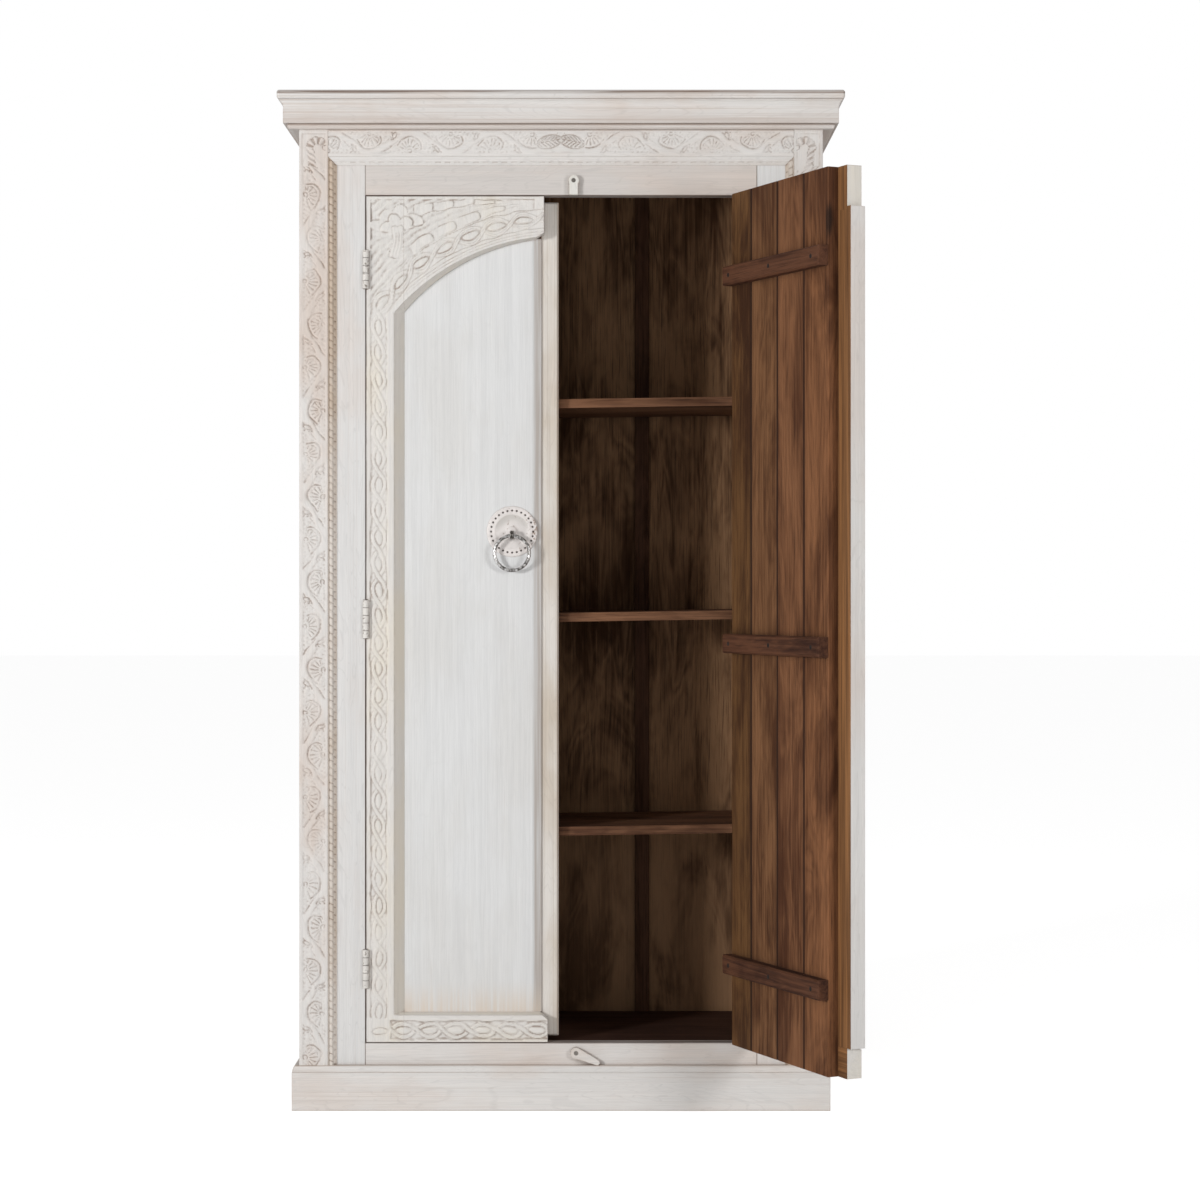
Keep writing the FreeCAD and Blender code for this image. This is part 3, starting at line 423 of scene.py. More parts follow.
class Effects:
    """The effects that several finishes share, each built once as a node group."""

    def __init__(self) -> None:
        """Build every group."""
        self.grain = self.build_grain()
        self.wear = self.build_wear_and_shade()
        self.limewash = self.build_limewash()

    def build_grain(self) -> bpy.types.NodeTree:
        """Wood grain along Z: fine lines, streaks and slow figure.

        Returns:
            The node group.
        """
        tree, start, end = new_effect(
            "wood grain",
            {"Vector": "Vector", "Seed": "Float"},
            {"Fine": "Float", "Streak": "Float", "Figure": "Float"},
        )
        shift = tree.add("ShaderNodeCombineXYZ")
        tree.put(shift.inputs[0], start.outputs["Seed"])
        tree.put(shift.inputs[2], start.outputs["Seed"])
        moved = tree.vector_math("ADD", start.outputs["Vector"], shift.outputs[0]).outputs[0]
        fine = tree.noise(tree.mapping(moved, (900.0, 900.0, 14.0)), 1.0, 4.0, 0.65)
        streak = tree.noise(tree.mapping(moved, (150.0, 150.0, 2.4)), 1.0, 5.0, 0.62, 0.3)
        figure = tree.noise(tree.mapping(moved, (17.0, 17.0, 2.6)), 1.0, 3.0, 0.5, 0.8)
        tree.put(end.inputs["Fine"], fine)
        tree.put(end.inputs["Streak"], streak)
        tree.put(end.inputs["Figure"], figure)
        return tree.tree

    def build_wear_and_shade(self) -> bpy.types.NodeTree:
        """Masks of sharp edges and of deep corners; the corner mask is ambient occlusion, which the finishes
        use as painted shade.

        Returns:
            The node group.
        """
        tree, start, end = new_effect(
            "edge and corner",
            {"Edge Width": "Float", "Corner Reach": "Float"},
            {"Edge": "Float", "Corner": "Float"},
        )
        rounded = tree.add("ShaderNodeBevel", samples=4)
        tree.put(rounded.inputs["Radius"], start.outputs["Edge Width"])
        facing = tree.add("ShaderNodeNewGeometry")
        alike = tree.vector_math("DOT_PRODUCT", rounded.outputs[0], facing.outputs["Normal"])
        tree.put(end.inputs["Edge"], tree.span(alike.outputs["Value"], 0.995, 0.80))
        # Ambient occlusion gives the corner mask: painted shade in occluded corners and gaps.
        hidden = tree.add("ShaderNodeAmbientOcclusion", samples=6)
        tree.put(hidden.inputs["Distance"], start.outputs["Corner Reach"])
        tree.put(end.inputs["Corner"], tree.span(hidden.outputs["AO"], 0.72, 0.12))
        return tree.tree

    def build_limewash(self) -> bpy.types.NodeTree:
        """Limewash brushed over brown wood, thin on edges, with grime and painted shade in corners and
        hollows.

        Returns:
            The node group.
        """
        tree, start, end = new_effect(
            "limewash",
            {
                "Vector": "Vector", "Seed": "Float", "Paint": "Color", "Warm": "Color", "Wood": "Color",
                "Thin": "Float", "Edge Wear": "Float", "Corner Dirt": "Float",
                "Hollow": "Float", "Raised": "Float", "Rings": "Float", "Stripes": "Float",
            },
            {"Colour": "Color", "Roughness": "Float", "Height": "Float"},
        )
        ports = start.outputs
        grain = tree.effect(self.grain, Vector=ports["Vector"], Seed=ports["Seed"]).outputs
        wear = tree.effect(self.wear, Edge_Width=0.0022, Corner_Reach=0.012).outputs
        blotch = tree.noise(tree.mapping(ports["Vector"], (7.0, 7.0, 3.0)), 1.0, 4.0, 0.6)
        warm = tree.plus(tree.span(blotch, 0.40, 0.66), tree.times(grain["Streak"], 0.35))
        colour = tree.mix(tree.times(warm, ports["Thin"], clamp=True), ports["Paint"], ports["Warm"])
        brushed = tree.span(grain["Streak"], 0.30, 0.72, 0.955, 1.03)
        lines = tree.span(grain["Fine"], 0.34, 0.60, 0.95, 1.02)
        rings = tree.math("FRACT", tree.times(grain["Figure"], 17.0))
        rings = tree.math("ABSOLUTE", tree.minus(rings, 0.5))
        rings = tree.times(tree.span(rings, 0.12, 0.02), tree.span(grain["Fine"], 0.40, 0.58))
        rings = tree.minus(1.0, tree.times(rings, ports["Rings"]))
        shade = tree.add("ShaderNodeCombineColor")
        both = tree.times(tree.times(brushed, lines), rings)
        for socket in shade.inputs[:3]:
            tree.put(socket, both)
        colour = tree.mix(1.0, colour, shade.outputs[0], "MULTIPLY")
        bare_spots = tree.times(tree.span(grain["Streak"], 0.64, 0.76), tree.span(blotch, 0.45, 0.7))
        bare_spots = tree.times(bare_spots, tree.times(ports["Thin"], 0.5))
        rubbed_edge = tree.times(wear["Edge"], tree.span(grain["Streak"], 0.36, 0.62))
        bare = tree.higher(bare_spots, tree.times(rubbed_edge, ports["Edge Wear"]))
        stretched = tree.mapping(ports["Vector"], (330.0, 330.0, 1.1), shift=(3.0, 5.0, 7.0))
        thin_lines = tree.noise(stretched, 1.0, 3.0, 0.6)
        stripes = tree.times(tree.span(thin_lines, 0.53, 0.66), ports["Stripes"])
        colour = tree.mix(stripes, colour, tree.mix(0.34, ports["Warm"], ports["Wood"]))
        raised = tree.times(ports["Raised"], tree.span(blotch, 0.36, 0.62, 0.25, 0.85))
        colour = tree.mix(raised, colour, ports["Warm"])
        bare = tree.lower(bare, 0.85)
        colour = tree.mix(bare, colour, ports["Wood"])
        # Grime and painted shade: brown wood shows, patchy, in occluded corners and in the marked hollows.
        patchy = tree.span(tree.noise(ports["Vector"], 46.0, 3.0, 0.6), 0.36, 0.64, 0.12, 0.66)
        dirt = tree.times(wear["Corner"], ports["Corner Dirt"])
        dirt = tree.higher(dirt, tree.times(ports["Hollow"], patchy))
        colour = tree.mix(tree.lower(dirt, 0.9), colour, ports["Wood"])
        tree.put(end.inputs["Colour"], colour)
        tree.put(end.inputs["Roughness"], tree.span(grain["Streak"], 0.2, 0.8, 0.78, 0.60))
        relief = tree.plus(tree.times(grain["Fine"], 0.35), grain["Streak"])
        tree.put(end.inputs["Height"], tree.minus(relief, tree.times(bare, 0.3)))
        return tree.tree


def new_material(name: str) -> tuple[bpy.types.Material, Tree, Node]:
    """Start a material.

    Args:
        name: The material's name.

    Returns:
        The material, its tree and its Principled shader.
    """
    material = bpy.data.materials.new(name)
    material.use_nodes = True
    tree = Tree(material.node_tree)
    return material, tree, material.node_tree.nodes["Principled BSDF"]


def along_grain(tree: Tree, grain: Grain) -> Socket:
    """Give the object's own coordinates, turned so that the grain runs along Z."""
    turn = Vector(grain.value).rotation_difference(Vector((0.0, 0.0, 1.0))).to_euler("XYZ")
    return tree.mapping(tree.place(), (1.0, 1.0, 1.0), tuple(turn))


def add_bump(tree: Tree, shader: Node, height: object, distance: float, strength: float) -> None:
    """Feed a height to the shader's normal.

    Args:
        tree: The material's tree.
        shader: Its shader.
        height: The height, about 0 to 1.
        distance: The height of 1, in metres.
        strength: How strongly it shows.
    """
    bump = tree.add("ShaderNodeBump")
    tree.put(bump.inputs["Height"], height)
    tree.put(bump.inputs["Distance"], distance)
    tree.put(bump.inputs["Strength"], strength)
    tree.put(shader.inputs["Normal"], bump.outputs[0])


@dataclass(frozen=True)
class Band:
    """A strip of a board coloured by grime, worn paint, painted light or painted shade, growing from a start
    to an end along one axis.

    Past the end it stays, unless it has a place where it has faded out again. Places are in metres.
    """

    axis: int
    start: float
    end: float
    colour: Colour = (0.47, 0.42, 0.38)
    amount: float = 0.9
    least: float = 0.28
    faded: float | None = None

    def over(self, tree: Tree, colour: Socket, streak: Socket) -> Socket:
        """Lay the band over a colour, thinner along the streaks of the grain.

        Args:
            tree: The material's tree.
            colour: The colour so far.
            streak: The grain's streaks.

        Returns:
            The colour with the band on it.
        """
        level = tree.parts(tree.place()).outputs[self.axis]
        inside = tree.span(level, self.start, self.end)
        if self.faded is not None:
            inside = tree.times(inside, tree.span(level, self.faded, self.end))
        patchy = tree.span(streak, 0.36, 0.58, self.least * self.amount, self.amount)
        return tree.mix(tree.times(inside, patchy), colour, self.colour)


@dataclass(frozen=True)
class Limewash:
    """Limewash over brown wood, on a board whose grain runs one way."""

    name: str
    grain: Grain = Grain.UPRIGHT
    seed: float = 0.0
    paint: Colour = (0.705, 0.690, 0.672)
    warm: Colour = (0.630, 0.550, 0.495)
    wood: Colour = (0.205, 0.125, 0.080)
    thin: float = 0.55
    edge_wear: float = 0.45
    corner_dirt: float = 0.75
    carved: bool = False
    rings: float = 0.10
    stripes: float = 0.0
    bands: tuple[Band, ...] = ()
    bare: tuple[float, float, float, float] | None = None
    raw_dark: Colour = (0.10, 0.040, 0.012)
    raw_light: Colour = (0.31, 0.140, 0.048)

    def material(self, effects: Effects) -> bpy.types.Material:
        """Build the material; past the bare plane the wood has no paint.

        Args:
            effects: The shared effects.

        Returns:
            The material.
        """
        material, tree, shader = new_material(self.name)
        hollow = tree.attribute("hollow") if self.carved else 0.0
        raised = tree.attribute("raised") if self.carved else 0.0
        wash = tree.effect(
            effects.limewash, Vector=along_grain(tree, self.grain), Seed=self.seed, Paint=self.paint,
            Warm=self.warm, Wood=self.wood, Thin=self.thin, Edge_Wear=self.edge_wear,
            Corner_Dirt=self.corner_dirt, Hollow=hollow, Raised=raised, Rings=self.rings,
            Stripes=self.stripes,
        )
        colour = wash.outputs["Colour"]
        for band in self.bands:
            grain = tree.effect(effects.grain, Vector=along_grain(tree, self.grain), Seed=self.seed + 5.0)
            colour = band.over(tree, colour, grain.outputs["Streak"])
        if self.bare is not None:
            past = tree.vector_math("DOT_PRODUCT", tree.place(), self.bare[:3])
            unpainted = tree.math("GREATER_THAN", past.outputs["Value"], self.bare[3])
            grain = tree.effect(effects.grain, Vector=along_grain(tree, self.grain), Seed=self.seed)
            wood = tree.mix(tree.span(grain.outputs["Streak"], 0.3, 0.7), self.raw_dark, self.raw_light)
            colour = tree.mix(unpainted, colour, wood)
        tree.put(shader.inputs["Base Color"], colour)
        tree.put(shader.inputs["Roughness"], wash.outputs["Roughness"])
        shader.inputs["Specular IOR Level"].default_value = 0.35
        add_bump(tree, shader, wash.outputs["Height"], 0.0005, 0.6)
        return material


@dataclass(frozen=True)
class BareWood:
    """Dry unpainted wood with grain lines, streaks and slow figure."""

    name: str
    grain: Grain = Grain.UPRIGHT
    seed: float = 0.0
    dark: Colour = (0.030, 0.014, 0.008)
    light: Colour = (0.085, 0.045, 0.026)
    dirt: Colour = (0.012, 0.006, 0.004)
    corner_dirt: float = 0.8
    edge_wear: float = 0.3
    roughness: float = 0.76
    joints: tuple[Colour, float, float] | None = None
    stain_share: float = 0.56
    spots: tuple[tuple[Colour, Colour], ...] = ()
    bands: tuple[Band, ...] = ()

    def material(self, effects: Effects) -> bpy.types.Material:
        """Build the material; joints gives a plank's dark long edges and spots its knots and stains.

        Args:
            effects: The shared effects.

        Returns:
            The material.
        """
        material, tree, shader = new_material(self.name)
        along = along_grain(tree, self.grain)
        grain = tree.effect(effects.grain, Vector=along, Seed=self.seed).outputs
        wear = tree.effect(effects.wear, Edge_Width=0.002, Corner_Reach=0.03).outputs
        stretched = tree.mapping(along, (9.0, 9.0, 3.2), shift=(self.seed, 0.0, self.seed))
        stain = tree.noise(stretched, 1.0, 4.0, 0.62, 0.6)
        rings = tree.math("FRACT", tree.times(grain["Figure"], 9.0))
        figure = tree.times(tree.math("ABSOLUTE", tree.minus(rings, 0.5)), 0.13)
        figure = tree.plus(figure, tree.times(grain["Streak"], 0.92 - self.stain_share))
        figure = tree.plus(figure, tree.times(stain, self.stain_share))
        colour = tree.mix(tree.span(figure, 0.36, 0.62), self.dark, self.light)
        colour = tree.mix(tree.span(grain["Fine"], 0.49, 0.33, 0.0, 0.62), colour, self.dirt)
        for band in self.bands:
            colour = band.over(tree, colour, stain)
        for centre, size in self.spots:
            scale = tuple(1.0 / value for value in size)
            shift = tuple(-value / reach for value, reach in zip(centre, size))
            away = tree.vector_math("LENGTH", tree.mapping(tree.place(), scale, shift=shift))
            uneven = tree.plus(away.outputs["Value"], tree.times(grain["Streak"], 1.2))
            colour = tree.mix(tree.span(uneven, 1.7, 1.1, 0.0, 0.85), colour, self.dirt)
        colour = tree.mix(tree.times(wear["Edge"], self.edge_wear), colour, self.light)
        # Occluded corners take the grime colour: grime and painted shade.
        colour = tree.mix(tree.times(wear["Corner"], self.corner_dirt), colour, self.dirt)
        if self.joints is not None:
            direction, low, high = self.joints
            level = tree.vector_math("DOT_PRODUCT", tree.place(), direction).outputs["Value"]
            near = tree.lower(tree.minus(level, low), tree.minus(high, level))
            colour = tree.mix(tree.span(near, 0.0038, 0.0020, 0.0, 0.94), colour, self.dirt)
            # A softer darkening over 16 mm beside each joint: painted shade.
            colour = tree.mix(tree.span(near, 0.016, 0.0, 0.0, 0.30), colour, self.dark)
        rough = tree.span(grain["Streak"], 0.2, 0.8, self.roughness + 0.1, self.roughness - 0.1)
        tree.put(shader.inputs["Base Color"], colour)
        tree.put(shader.inputs["Roughness"], rough)
        shader.inputs["Specular IOR Level"].default_value = 0.18
        add_bump(tree, shader, tree.plus(grain["Fine"], grain["Streak"]), 0.0005, 0.7)
        return material


@dataclass(frozen=True)
class ForgedIron:
    """Iron with shallow hammer marks, bright where it is rubbed."""

    name: str
    bright: Colour = (0.62, 0.61, 0.60)
    dark: Colour = (0.085, 0.075, 0.068)
    rust: Colour = (0.03, 0.022, 0.018)
    dents: float = 240.0
    roughness: float = 0.27
    metallic: float = 0.9

    def material(self, effects: Effects) -> bpy.types.Material:
        """Build the material.

        Args:
            effects: The shared effects.

        Returns:
            The material.
        """
        material, tree, shader = new_material(self.name)
        place = tree.place()
        cells = tree.add("ShaderNodeTexVoronoi", feature="SMOOTH_F1")
        tree.put(cells.inputs["Vector"], place)
        tree.put(cells.inputs["Scale"], self.dents)
        patches = tree.noise(place, 120.0, 4.0, 0.6)
        wear = tree.effect(effects.wear, Edge_Width=0.001, Corner_Reach=0.006).outputs
        bright = tree.plus(tree.span(patches, 0.38, 0.62), tree.times(wear["Edge"], 0.4), clamp=True)
        colour = tree.mix(bright, self.dark, self.bright)
        colour = tree.mix(tree.times(wear["Corner"], 0.8), colour, self.rust)
        rough = tree.span(patches, 0.3, 0.7, self.roughness + 0.16, self.roughness)
        tree.put(shader.inputs["Base Color"], colour)
        shader.inputs["Metallic"].default_value = self.metallic
        tree.put(shader.inputs["Roughness"], rough)
        add_bump(tree, shader, cells.outputs["Distance"], 0.0008, 0.8)
        return material


@dataclass(frozen=True)
class PaintedMetal:
    """Old paint on metal, worn through in patches, edges and along one rim."""

    name: str
    paint: Colour = (0.72, 0.66, 0.61)
    under: Colour = (0.235, 0.145, 0.090)
    pierced: Colour = (0.03, 0.018, 0.012)
    shaded: Colour = (0.40, 0.385, 0.35)
    centre: Colour = (0.0, 0.0, 0.0)
    rim_wear: float = 0.0
    patch_low: float = 0.56
    dish_shade: float = 0.0

    def material(self, effects: Effects) -> bpy.types.Material:
        """Build the material.

        Args:
            effects: The shared effects.

        Returns:
            The material.
        """
        material, tree, shader = new_material(self.name)
        place = tree.place()
        centred = tree.mapping(place, (1.0, 1.0, 1.0), shift=tuple(-value for value in self.centre))
        parts = tree.parts(centred).outputs
        patches = tree.noise(place, 150.0, 5.0, 0.62)
        rim = tree.span(parts[0], 0.018, 0.048, 0.0, self.rim_wear)
        level = tree.plus(patches, tree.times(rim, 0.35))
        wear = tree.effect(effects.wear, Edge_Width=0.0012, Corner_Reach=0.006).outputs
        bare = tree.span(level, self.patch_low, self.patch_low + 0.12, 0.0, 0.8)
        bare = tree.higher(bare, tree.times(wear["Edge"], 0.5))
        # Occluded corners and gaps, such as the hinge knuckles, turn dark: painted shade.
        bare = tree.higher(bare, tree.times(wear["Corner"], 0.75))
        aged = tree.span(tree.noise(place, 45.0, 3.0), 0.35, 0.65)
        colour = tree.mix(aged, self.paint, tuple(0.9 * value for value in self.paint))
        away = tree.vector_math("LENGTH", centred).outputs["Value"]
        dish = tree.times(tree.span(away, 0.0320, 0.0295), tree.span(away, 0.012, 0.026))
        dish = tree.times(dish, tree.span(parts[2], -0.004, 0.016, 0.0, self.dish_shade))
        colour = tree.mix(dish, colour, self.shaded)
        colour = tree.mix(bare, colour, self.under)
        # The sunk holes are coloured near black: painted shade standing for the depth of the pierced holes.
        colour = tree.mix(tree.attribute("hollow"), colour, self.pierced)
        tree.put(shader.inputs["Base Color"], colour)
        tree.put(shader.inputs["Roughness"], tree.span(patches, 0.3, 0.7, 0.62, 0.45))
        add_bump(tree, shader, patches, 0.0006, 0.5)
        return material


Finish = Limewash | BareWood | ForgedIron | PaintedMetal


class ReliefMesh:
    """A board whose front is a fine grid of heights, with its walls and its back closed."""

    neighbours = 2

    def __init__(self, name: str, columns: int, rows: int) -> None:
        """Make the flat grid with a rim extruded back from it, in whole steps.

        Args:
            name: The piece's name.
            columns: Points along the first direction.
            rows: Points along the second direction.
        """
        self.name = name
        self.columns = columns
        self.rows = rows
        mesh = bmesh.new()
        bmesh.ops.create_grid(mesh, x_segments=columns - 1, y_segments=rows - 1, size=1.0)
        rim = [edge for edge in mesh.edges if edge.is_boundary]
        extruded = bmesh.ops.extrude_edge_only(mesh, edges=rim)
        moved = [item for item in extruded["geom"] if isinstance(item, bmesh.types.BMVert)]
        bmesh.ops.translate(mesh, verts=moved, vec=(0.0, 0.0, -1.0))
        back = [edge for edge in mesh.edges if edge.is_boundary]
        bmesh.ops.edgeloop_fill(mesh, edges=back)
        bmesh.ops.recalc_face_normals(mesh, faces=mesh.faces)
        self.data = bpy.data.meshes.new(name)
        mesh.to_mesh(self.data)
        mesh.free()

    def shape(self, across: Heights, up: Heights, depth: Heights, back: float) -> None:
        """Send the grid to its place.

        Args:
            across: X of each grid point in millimetres, one row of the array per grid row.
            up: Z of each grid point.
            depth: Y of each grid point.
            back: Y of the closed back.
        """
        count = len(self.data.vertices)
        places = np.empty(count * 3)
        self.data.vertices.foreach_get("co", places)
        places = places.reshape(-1, 3)
        column = np.rint((places[:, 0] + 1.0) / 2.0 * (self.columns - 1)).astype(int)
        row = np.rint((places[:, 1] + 1.0) / 2.0 * (self.rows - 1)).astype(int)
        behind = places[:, 2] < -0.5
        placed = np.stack([across[row, column], depth[row, column], up[row, column]], axis=1)
        placed[behind, 1] = back
        self.data.vertices.foreach_set("co", (placed * MM).ravel())
        self.index = (row, column, behind)
        self.data.update()

    def mark(self, name: str, values: Heights) -> None:
        """Keep a value for each grid point, for the finish to read.

        Args:
            name: The value's name.
            values: The value at each point.
        """
        row, column, behind = self.index
        kept = values[row, column]
        kept[behind] = 0.0
        layer = self.data.attributes.new(name, "FLOAT", "POINT")
        layer.data.foreach_set("value", kept.astype(np.float32))

    def carve(
        self, heights: Heights, depth: float, warm: Heights | float = 0.0, dark: Heights | float = 0.0,
    ) -> None:
        """Mark the hollows, which the finish darkens as painted shade and grime, and the rubbed places of a
        relief.

        Args:
            heights: The relief.
            depth: The relief's full depth.
            warm: Places coloured warm whatever their height: rubbed places, and painted shade on a bead
                strip's slope.
            dark: Places darkened whatever their height: painted shade along gaps and arrises.
        """
        lifted = heights - blurred(heights, self.neighbours)
        low = np.clip(-heights / depth, 0.0, 1.0)
        # Hollows get darker the deeper they lie: painted shade in recesses, with the given dark lines.
        self.mark("hollow", np.maximum(np.clip(-lifted / 0.75, 0.0, 1.0) * (0.35 + 0.65 * low), dark))
        self.mark("raised", np.maximum(0.55 * np.clip(lifted / 0.7, 0.0, 1.0), warm))

    def finish(self, material: bpy.types.Material, body: str, nodes: tuple[str, ...]) -> bpy.types.Object:
        """Make the object, dress it, and let it stand for its solids.

        Args:
            material: The finish.
            body: The moving body that it rides on.
            nodes: The solids that it stands for.

        Returns:
            The finished object.
        """
        mesh = bmesh.new()
        mesh.from_mesh(self.data)
        bmesh.ops.recalc_face_normals(mesh, faces=mesh.faces)
        mesh.to_mesh(self.data)
        mesh.free()
        return finish_piece(self.name, self.data, material, body, nodes)


def finish_piece(
    name: str, data: bpy.types.Mesh, material: bpy.types.Material, body: str, nodes: tuple[str, ...],
) -> bpy.types.Object:
    """Link a finished mesh as a piece of the cabinet.

    Args:
        name: The piece's name.
        data: Its mesh, in place.
        material: The finish.
        body: The moving body that it rides on.
        nodes: The solids that it stands for.

    Returns:
        The finished object.
    """
    data.materials.append(material)
    for polygon in data.polygons:
        polygon.use_smooth = True
    piece = bpy.data.objects.new(name, data)
    bpy.context.scene.collection.objects.link(piece)
    data.set_sharp_from_angle(angle=SHARP_ANGLE)
    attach(piece, body)
    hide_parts(*nodes)
    LOG.info("%s: %d faces", name, len(data.polygons))
    return piece


@dataclass(frozen=True)
class Guilloche:
    """Two strands that cross over a row of eyes."""

    pitch: float = 48.2
    swing: float = 11.9
    strand: float = 4.1
    eye_length: float = 14.6
    eye_width: float = 6.6
    depth: float = 2.9
    ground: float = 0.0
    shoulder: float = 1.8
    strand_level: float = 0.80
    vein_depth: float = 0.26
    vein_width: float = 0.9
    under_gap: float = 1.5

    def height(self, phase: Heights, across: Heights) -> Heights:
        """Give the relief under the board's face.

        Args:
            phase: Place along the band in pitches; eyes stand at whole numbers.
            across: Distance from the band's middle.

        Returns:
            Heights at or below zero.
        """
        angle = np.pi * (phase + 0.5)
        wave = self.swing * np.sin(angle)
        slope = self.swing * np.pi / self.pitch * np.cos(angle)
        steep = np.sqrt(1.0 + slope * slope)
        first = np.abs(across - wave) / steep
        second = np.abs(across + wave) / steep
        over = np.where(np.cos(angle) < 0.0, first, second)
        under = np.where(np.cos(angle) < 0.0, second, first)
        kept = 1.0 - ease((self.strand + self.under_gap - over) / 1.2)
        top = self.section(over)
        low = self.section(under) * kept
        beside = (phase - np.rint(phase)) * self.pitch
        reach = np.sqrt((beside / self.eye_length) ** 2 + (across / self.eye_width) ** 2)
        eye = (0.35 + 0.65 * np.sqrt(np.clip(1.0 - reach**2, 0.0, 1.0))) * ease((1.0 - reach) / 0.14)
        around = ease((1.32 - reach) / 0.16)
        height = np.maximum(np.maximum(top, low), self.ground) * (1.0 - 0.75 * around)
        height = np.maximum(height, eye)
        inside = ridge(across, self.swing + self.strand + 1.4, 1.2)
        return -self.depth * (1.0 - height) * inside

    def section(self, off: Heights) -> Heights:
        """A strand's section: a rounded ridge with a vein along its middle."""
        level = self.strand_level - self.vein_depth * line(off, self.vein_width)
        return ridge(off, self.strand, self.shoulder) * level


@dataclass(frozen=True)
class Rinceau:
    """A waving stem with a ribbed fan in each bend and three petals below each crossing."""

    pitch: float
    half_width: float
    drawn_pitch: float = 156.0
    drawn_half_width: float = 19.0
    stem: float = 5.6
    swing: float = 17.5
    depth: float = 2.9
    fan_centre: tuple[float, float] = (2.0, -15.5)
    rib_pace: float = 15.5
    curl_radius: float = 3.4
    petal_centre: tuple[float, float] = (33.0, 7.5)
    petal_turns: tuple[float, ...] = (-0.05, 0.95, 1.95)
    petal_half: float = 6.0
    petal_half_width: float = 3.3
    fan_turns: tuple[float, ...] = (-0.2, 0.25, 0.65, 1.2, 1.6, 2.1, 2.5, 2.9)
    fan_reaches: tuple[float, ...] = (15.0, 20.0, 25.5, 27.0, 26.0, 25.0, 25.5, 28.0)

    def height(self, along: Heights, across: Heights) -> Heights:
        """Give the relief under the board's face.

        Args:
            along: Distance along the border from a bend of the stem.
            across: Distance from the border's middle line, positive at its outer side.

        Returns:
            Heights at or below zero.
        """
        moved = along + 2.2 * wander(along, across, 47.0, 1.0)
        shifted = across + 1.2 * wander(along, across, 35.0, 2.0)
        cell = self.pitch / 2.0
        number = np.rint(moved / cell)
        side = np.where(number % 2 == 0, 1.0, -1.0)
        forward = (moved - cell * number) * (self.drawn_pitch / self.pitch)
        beside = shifted * side * (self.drawn_half_width / self.half_width)
        angle = math.tau * forward / self.drawn_pitch
        wave = self.swing * np.cos(angle)
        slope = self.swing * math.tau / self.drawn_pitch * np.sin(angle)
        off = (beside - wave) / np.sqrt(1.0 + slope * slope)
        steep = ease((np.abs(forward) - 18.0) / 8.0)
        sides = (line(off - self.stem - 0.8, 1.5) + 0.6 * line(off + self.stem + 0.8, 1.3)) * steep
        ground = 0.22 + 0.12 * ease((np.abs(off) - self.stem) / 3.0)
        sunk = np.maximum(ground * ease((np.abs(off) - self.stem) / 2.0), 0.95 * sides)
        fan, covered = self.fan(forward, beside)
        sunk = np.where(covered > 0.5, fan, np.maximum(sunk, fan))
        petals, around = self.petals(forward, beside)
        sunk = np.where(around > 0.5, petals, np.maximum(sunk, petals))
        rough = 0.10 * wander(along, across, 7.5, 3.0) + 0.06 * wander(along, across, 3.4, 4.0)
        worn = 0.78 + 0.22 * wander(along, across, 140.0, 6.0)
        inside = ridge(across, self.half_width + 2.5, 2.6)
        return -self.depth * np.clip(sunk * worn + rough * (sunk > 0.1), 0.0, 1.0) * inside

    def fan(self, forward: Heights, beside: Heights) -> tuple[Heights, Heights]:
        """A shell whose ribs spread from a small curl to a hooded rim that runs on as a tail.

        Args:
            forward: Distance past the bend.
            beside: Distance from the border's middle line towards the stem.

        Returns:
            How deep the fan is cut, and 1 inside it.
        """
        right = forward - self.fan_centre[0]
        above = beside - self.fan_centre[1]
        reach = np.hypot(right, above)
        turn = np.arctan2(above, -right)
        inner = reach - np.interp(turn, self.fan_turns, self.fan_reaches)
        facing = ease((turn + 0.05) / 0.25) * ease((2.92 - turn) / 0.15)
        covered = facing * ease((0.6 - inner) / 0.8)
        ribs = (0.5 + 0.5 * np.cos(turn * self.rib_pace + 0.6)) ** 2
        ribs = ribs * ease((reach - 5.0) / 4.0) * ease((-inner - 2.5) / 2.0)
        hood = line(inner + 5.0, 1.1) * ease((1.7 - turn) / 0.5) * ease((turn - 0.1) / 0.3)
        edge = line(inner - 0.4, 1.75) * facing
        sector = line(reach * np.sin(turn - 0.12), 1.2) * (np.abs(turn) < 1.2)
        sector = sector + line(reach * np.sin(turn - 2.82), 1.2) * (turn > 2.0)
        curl = line(reach - self.curl_radius, 1.3) * (np.abs(turn) < 2.6)
        inside = 0.08 + 0.26 * np.clip(reach / 27.0, 0.0, 1.0)
        cut = np.maximum(inside * covered, np.maximum(0.86 * ribs, 0.75 * hood) * covered)
        cut = np.maximum(cut, 0.55 * sector * (inner < 0.0))
        return np.maximum(np.maximum(cut, edge), 0.95 * curl), covered

    def petals(self, forward: Heights, beside: Heights) -> tuple[Heights, Heights]:
        """Three petals that spread towards the border's edge where the stem has left it.

        Args:
            forward: Distance past the bend.
            beside: Distance from the border's middle line towards the stem.

        Returns:
            How deep the petals' outlines are cut, and 1 inside them.
        """
        right = forward - self.petal_centre[0]
        above = beside - self.petal_centre[1]
        cut = np.zeros_like(forward)
        covered = np.zeros_like(forward)
        for turn in self.petal_turns:
            along = right * math.cos(turn) + above * math.sin(turn)
            across = above * math.cos(turn) - right * math.sin(turn)
            reach = np.hypot((along - self.petal_half) / self.petal_half, across / self.petal_half_width)
            cut = np.maximum(cut * (reach > 1.0), 0.95 * line((reach - 1.0) * 4.0, 1.6))
            covered = np.maximum(covered, ease((1.0 - reach) / 0.2))
        return np.maximum(cut, 0.08 * covered), covered


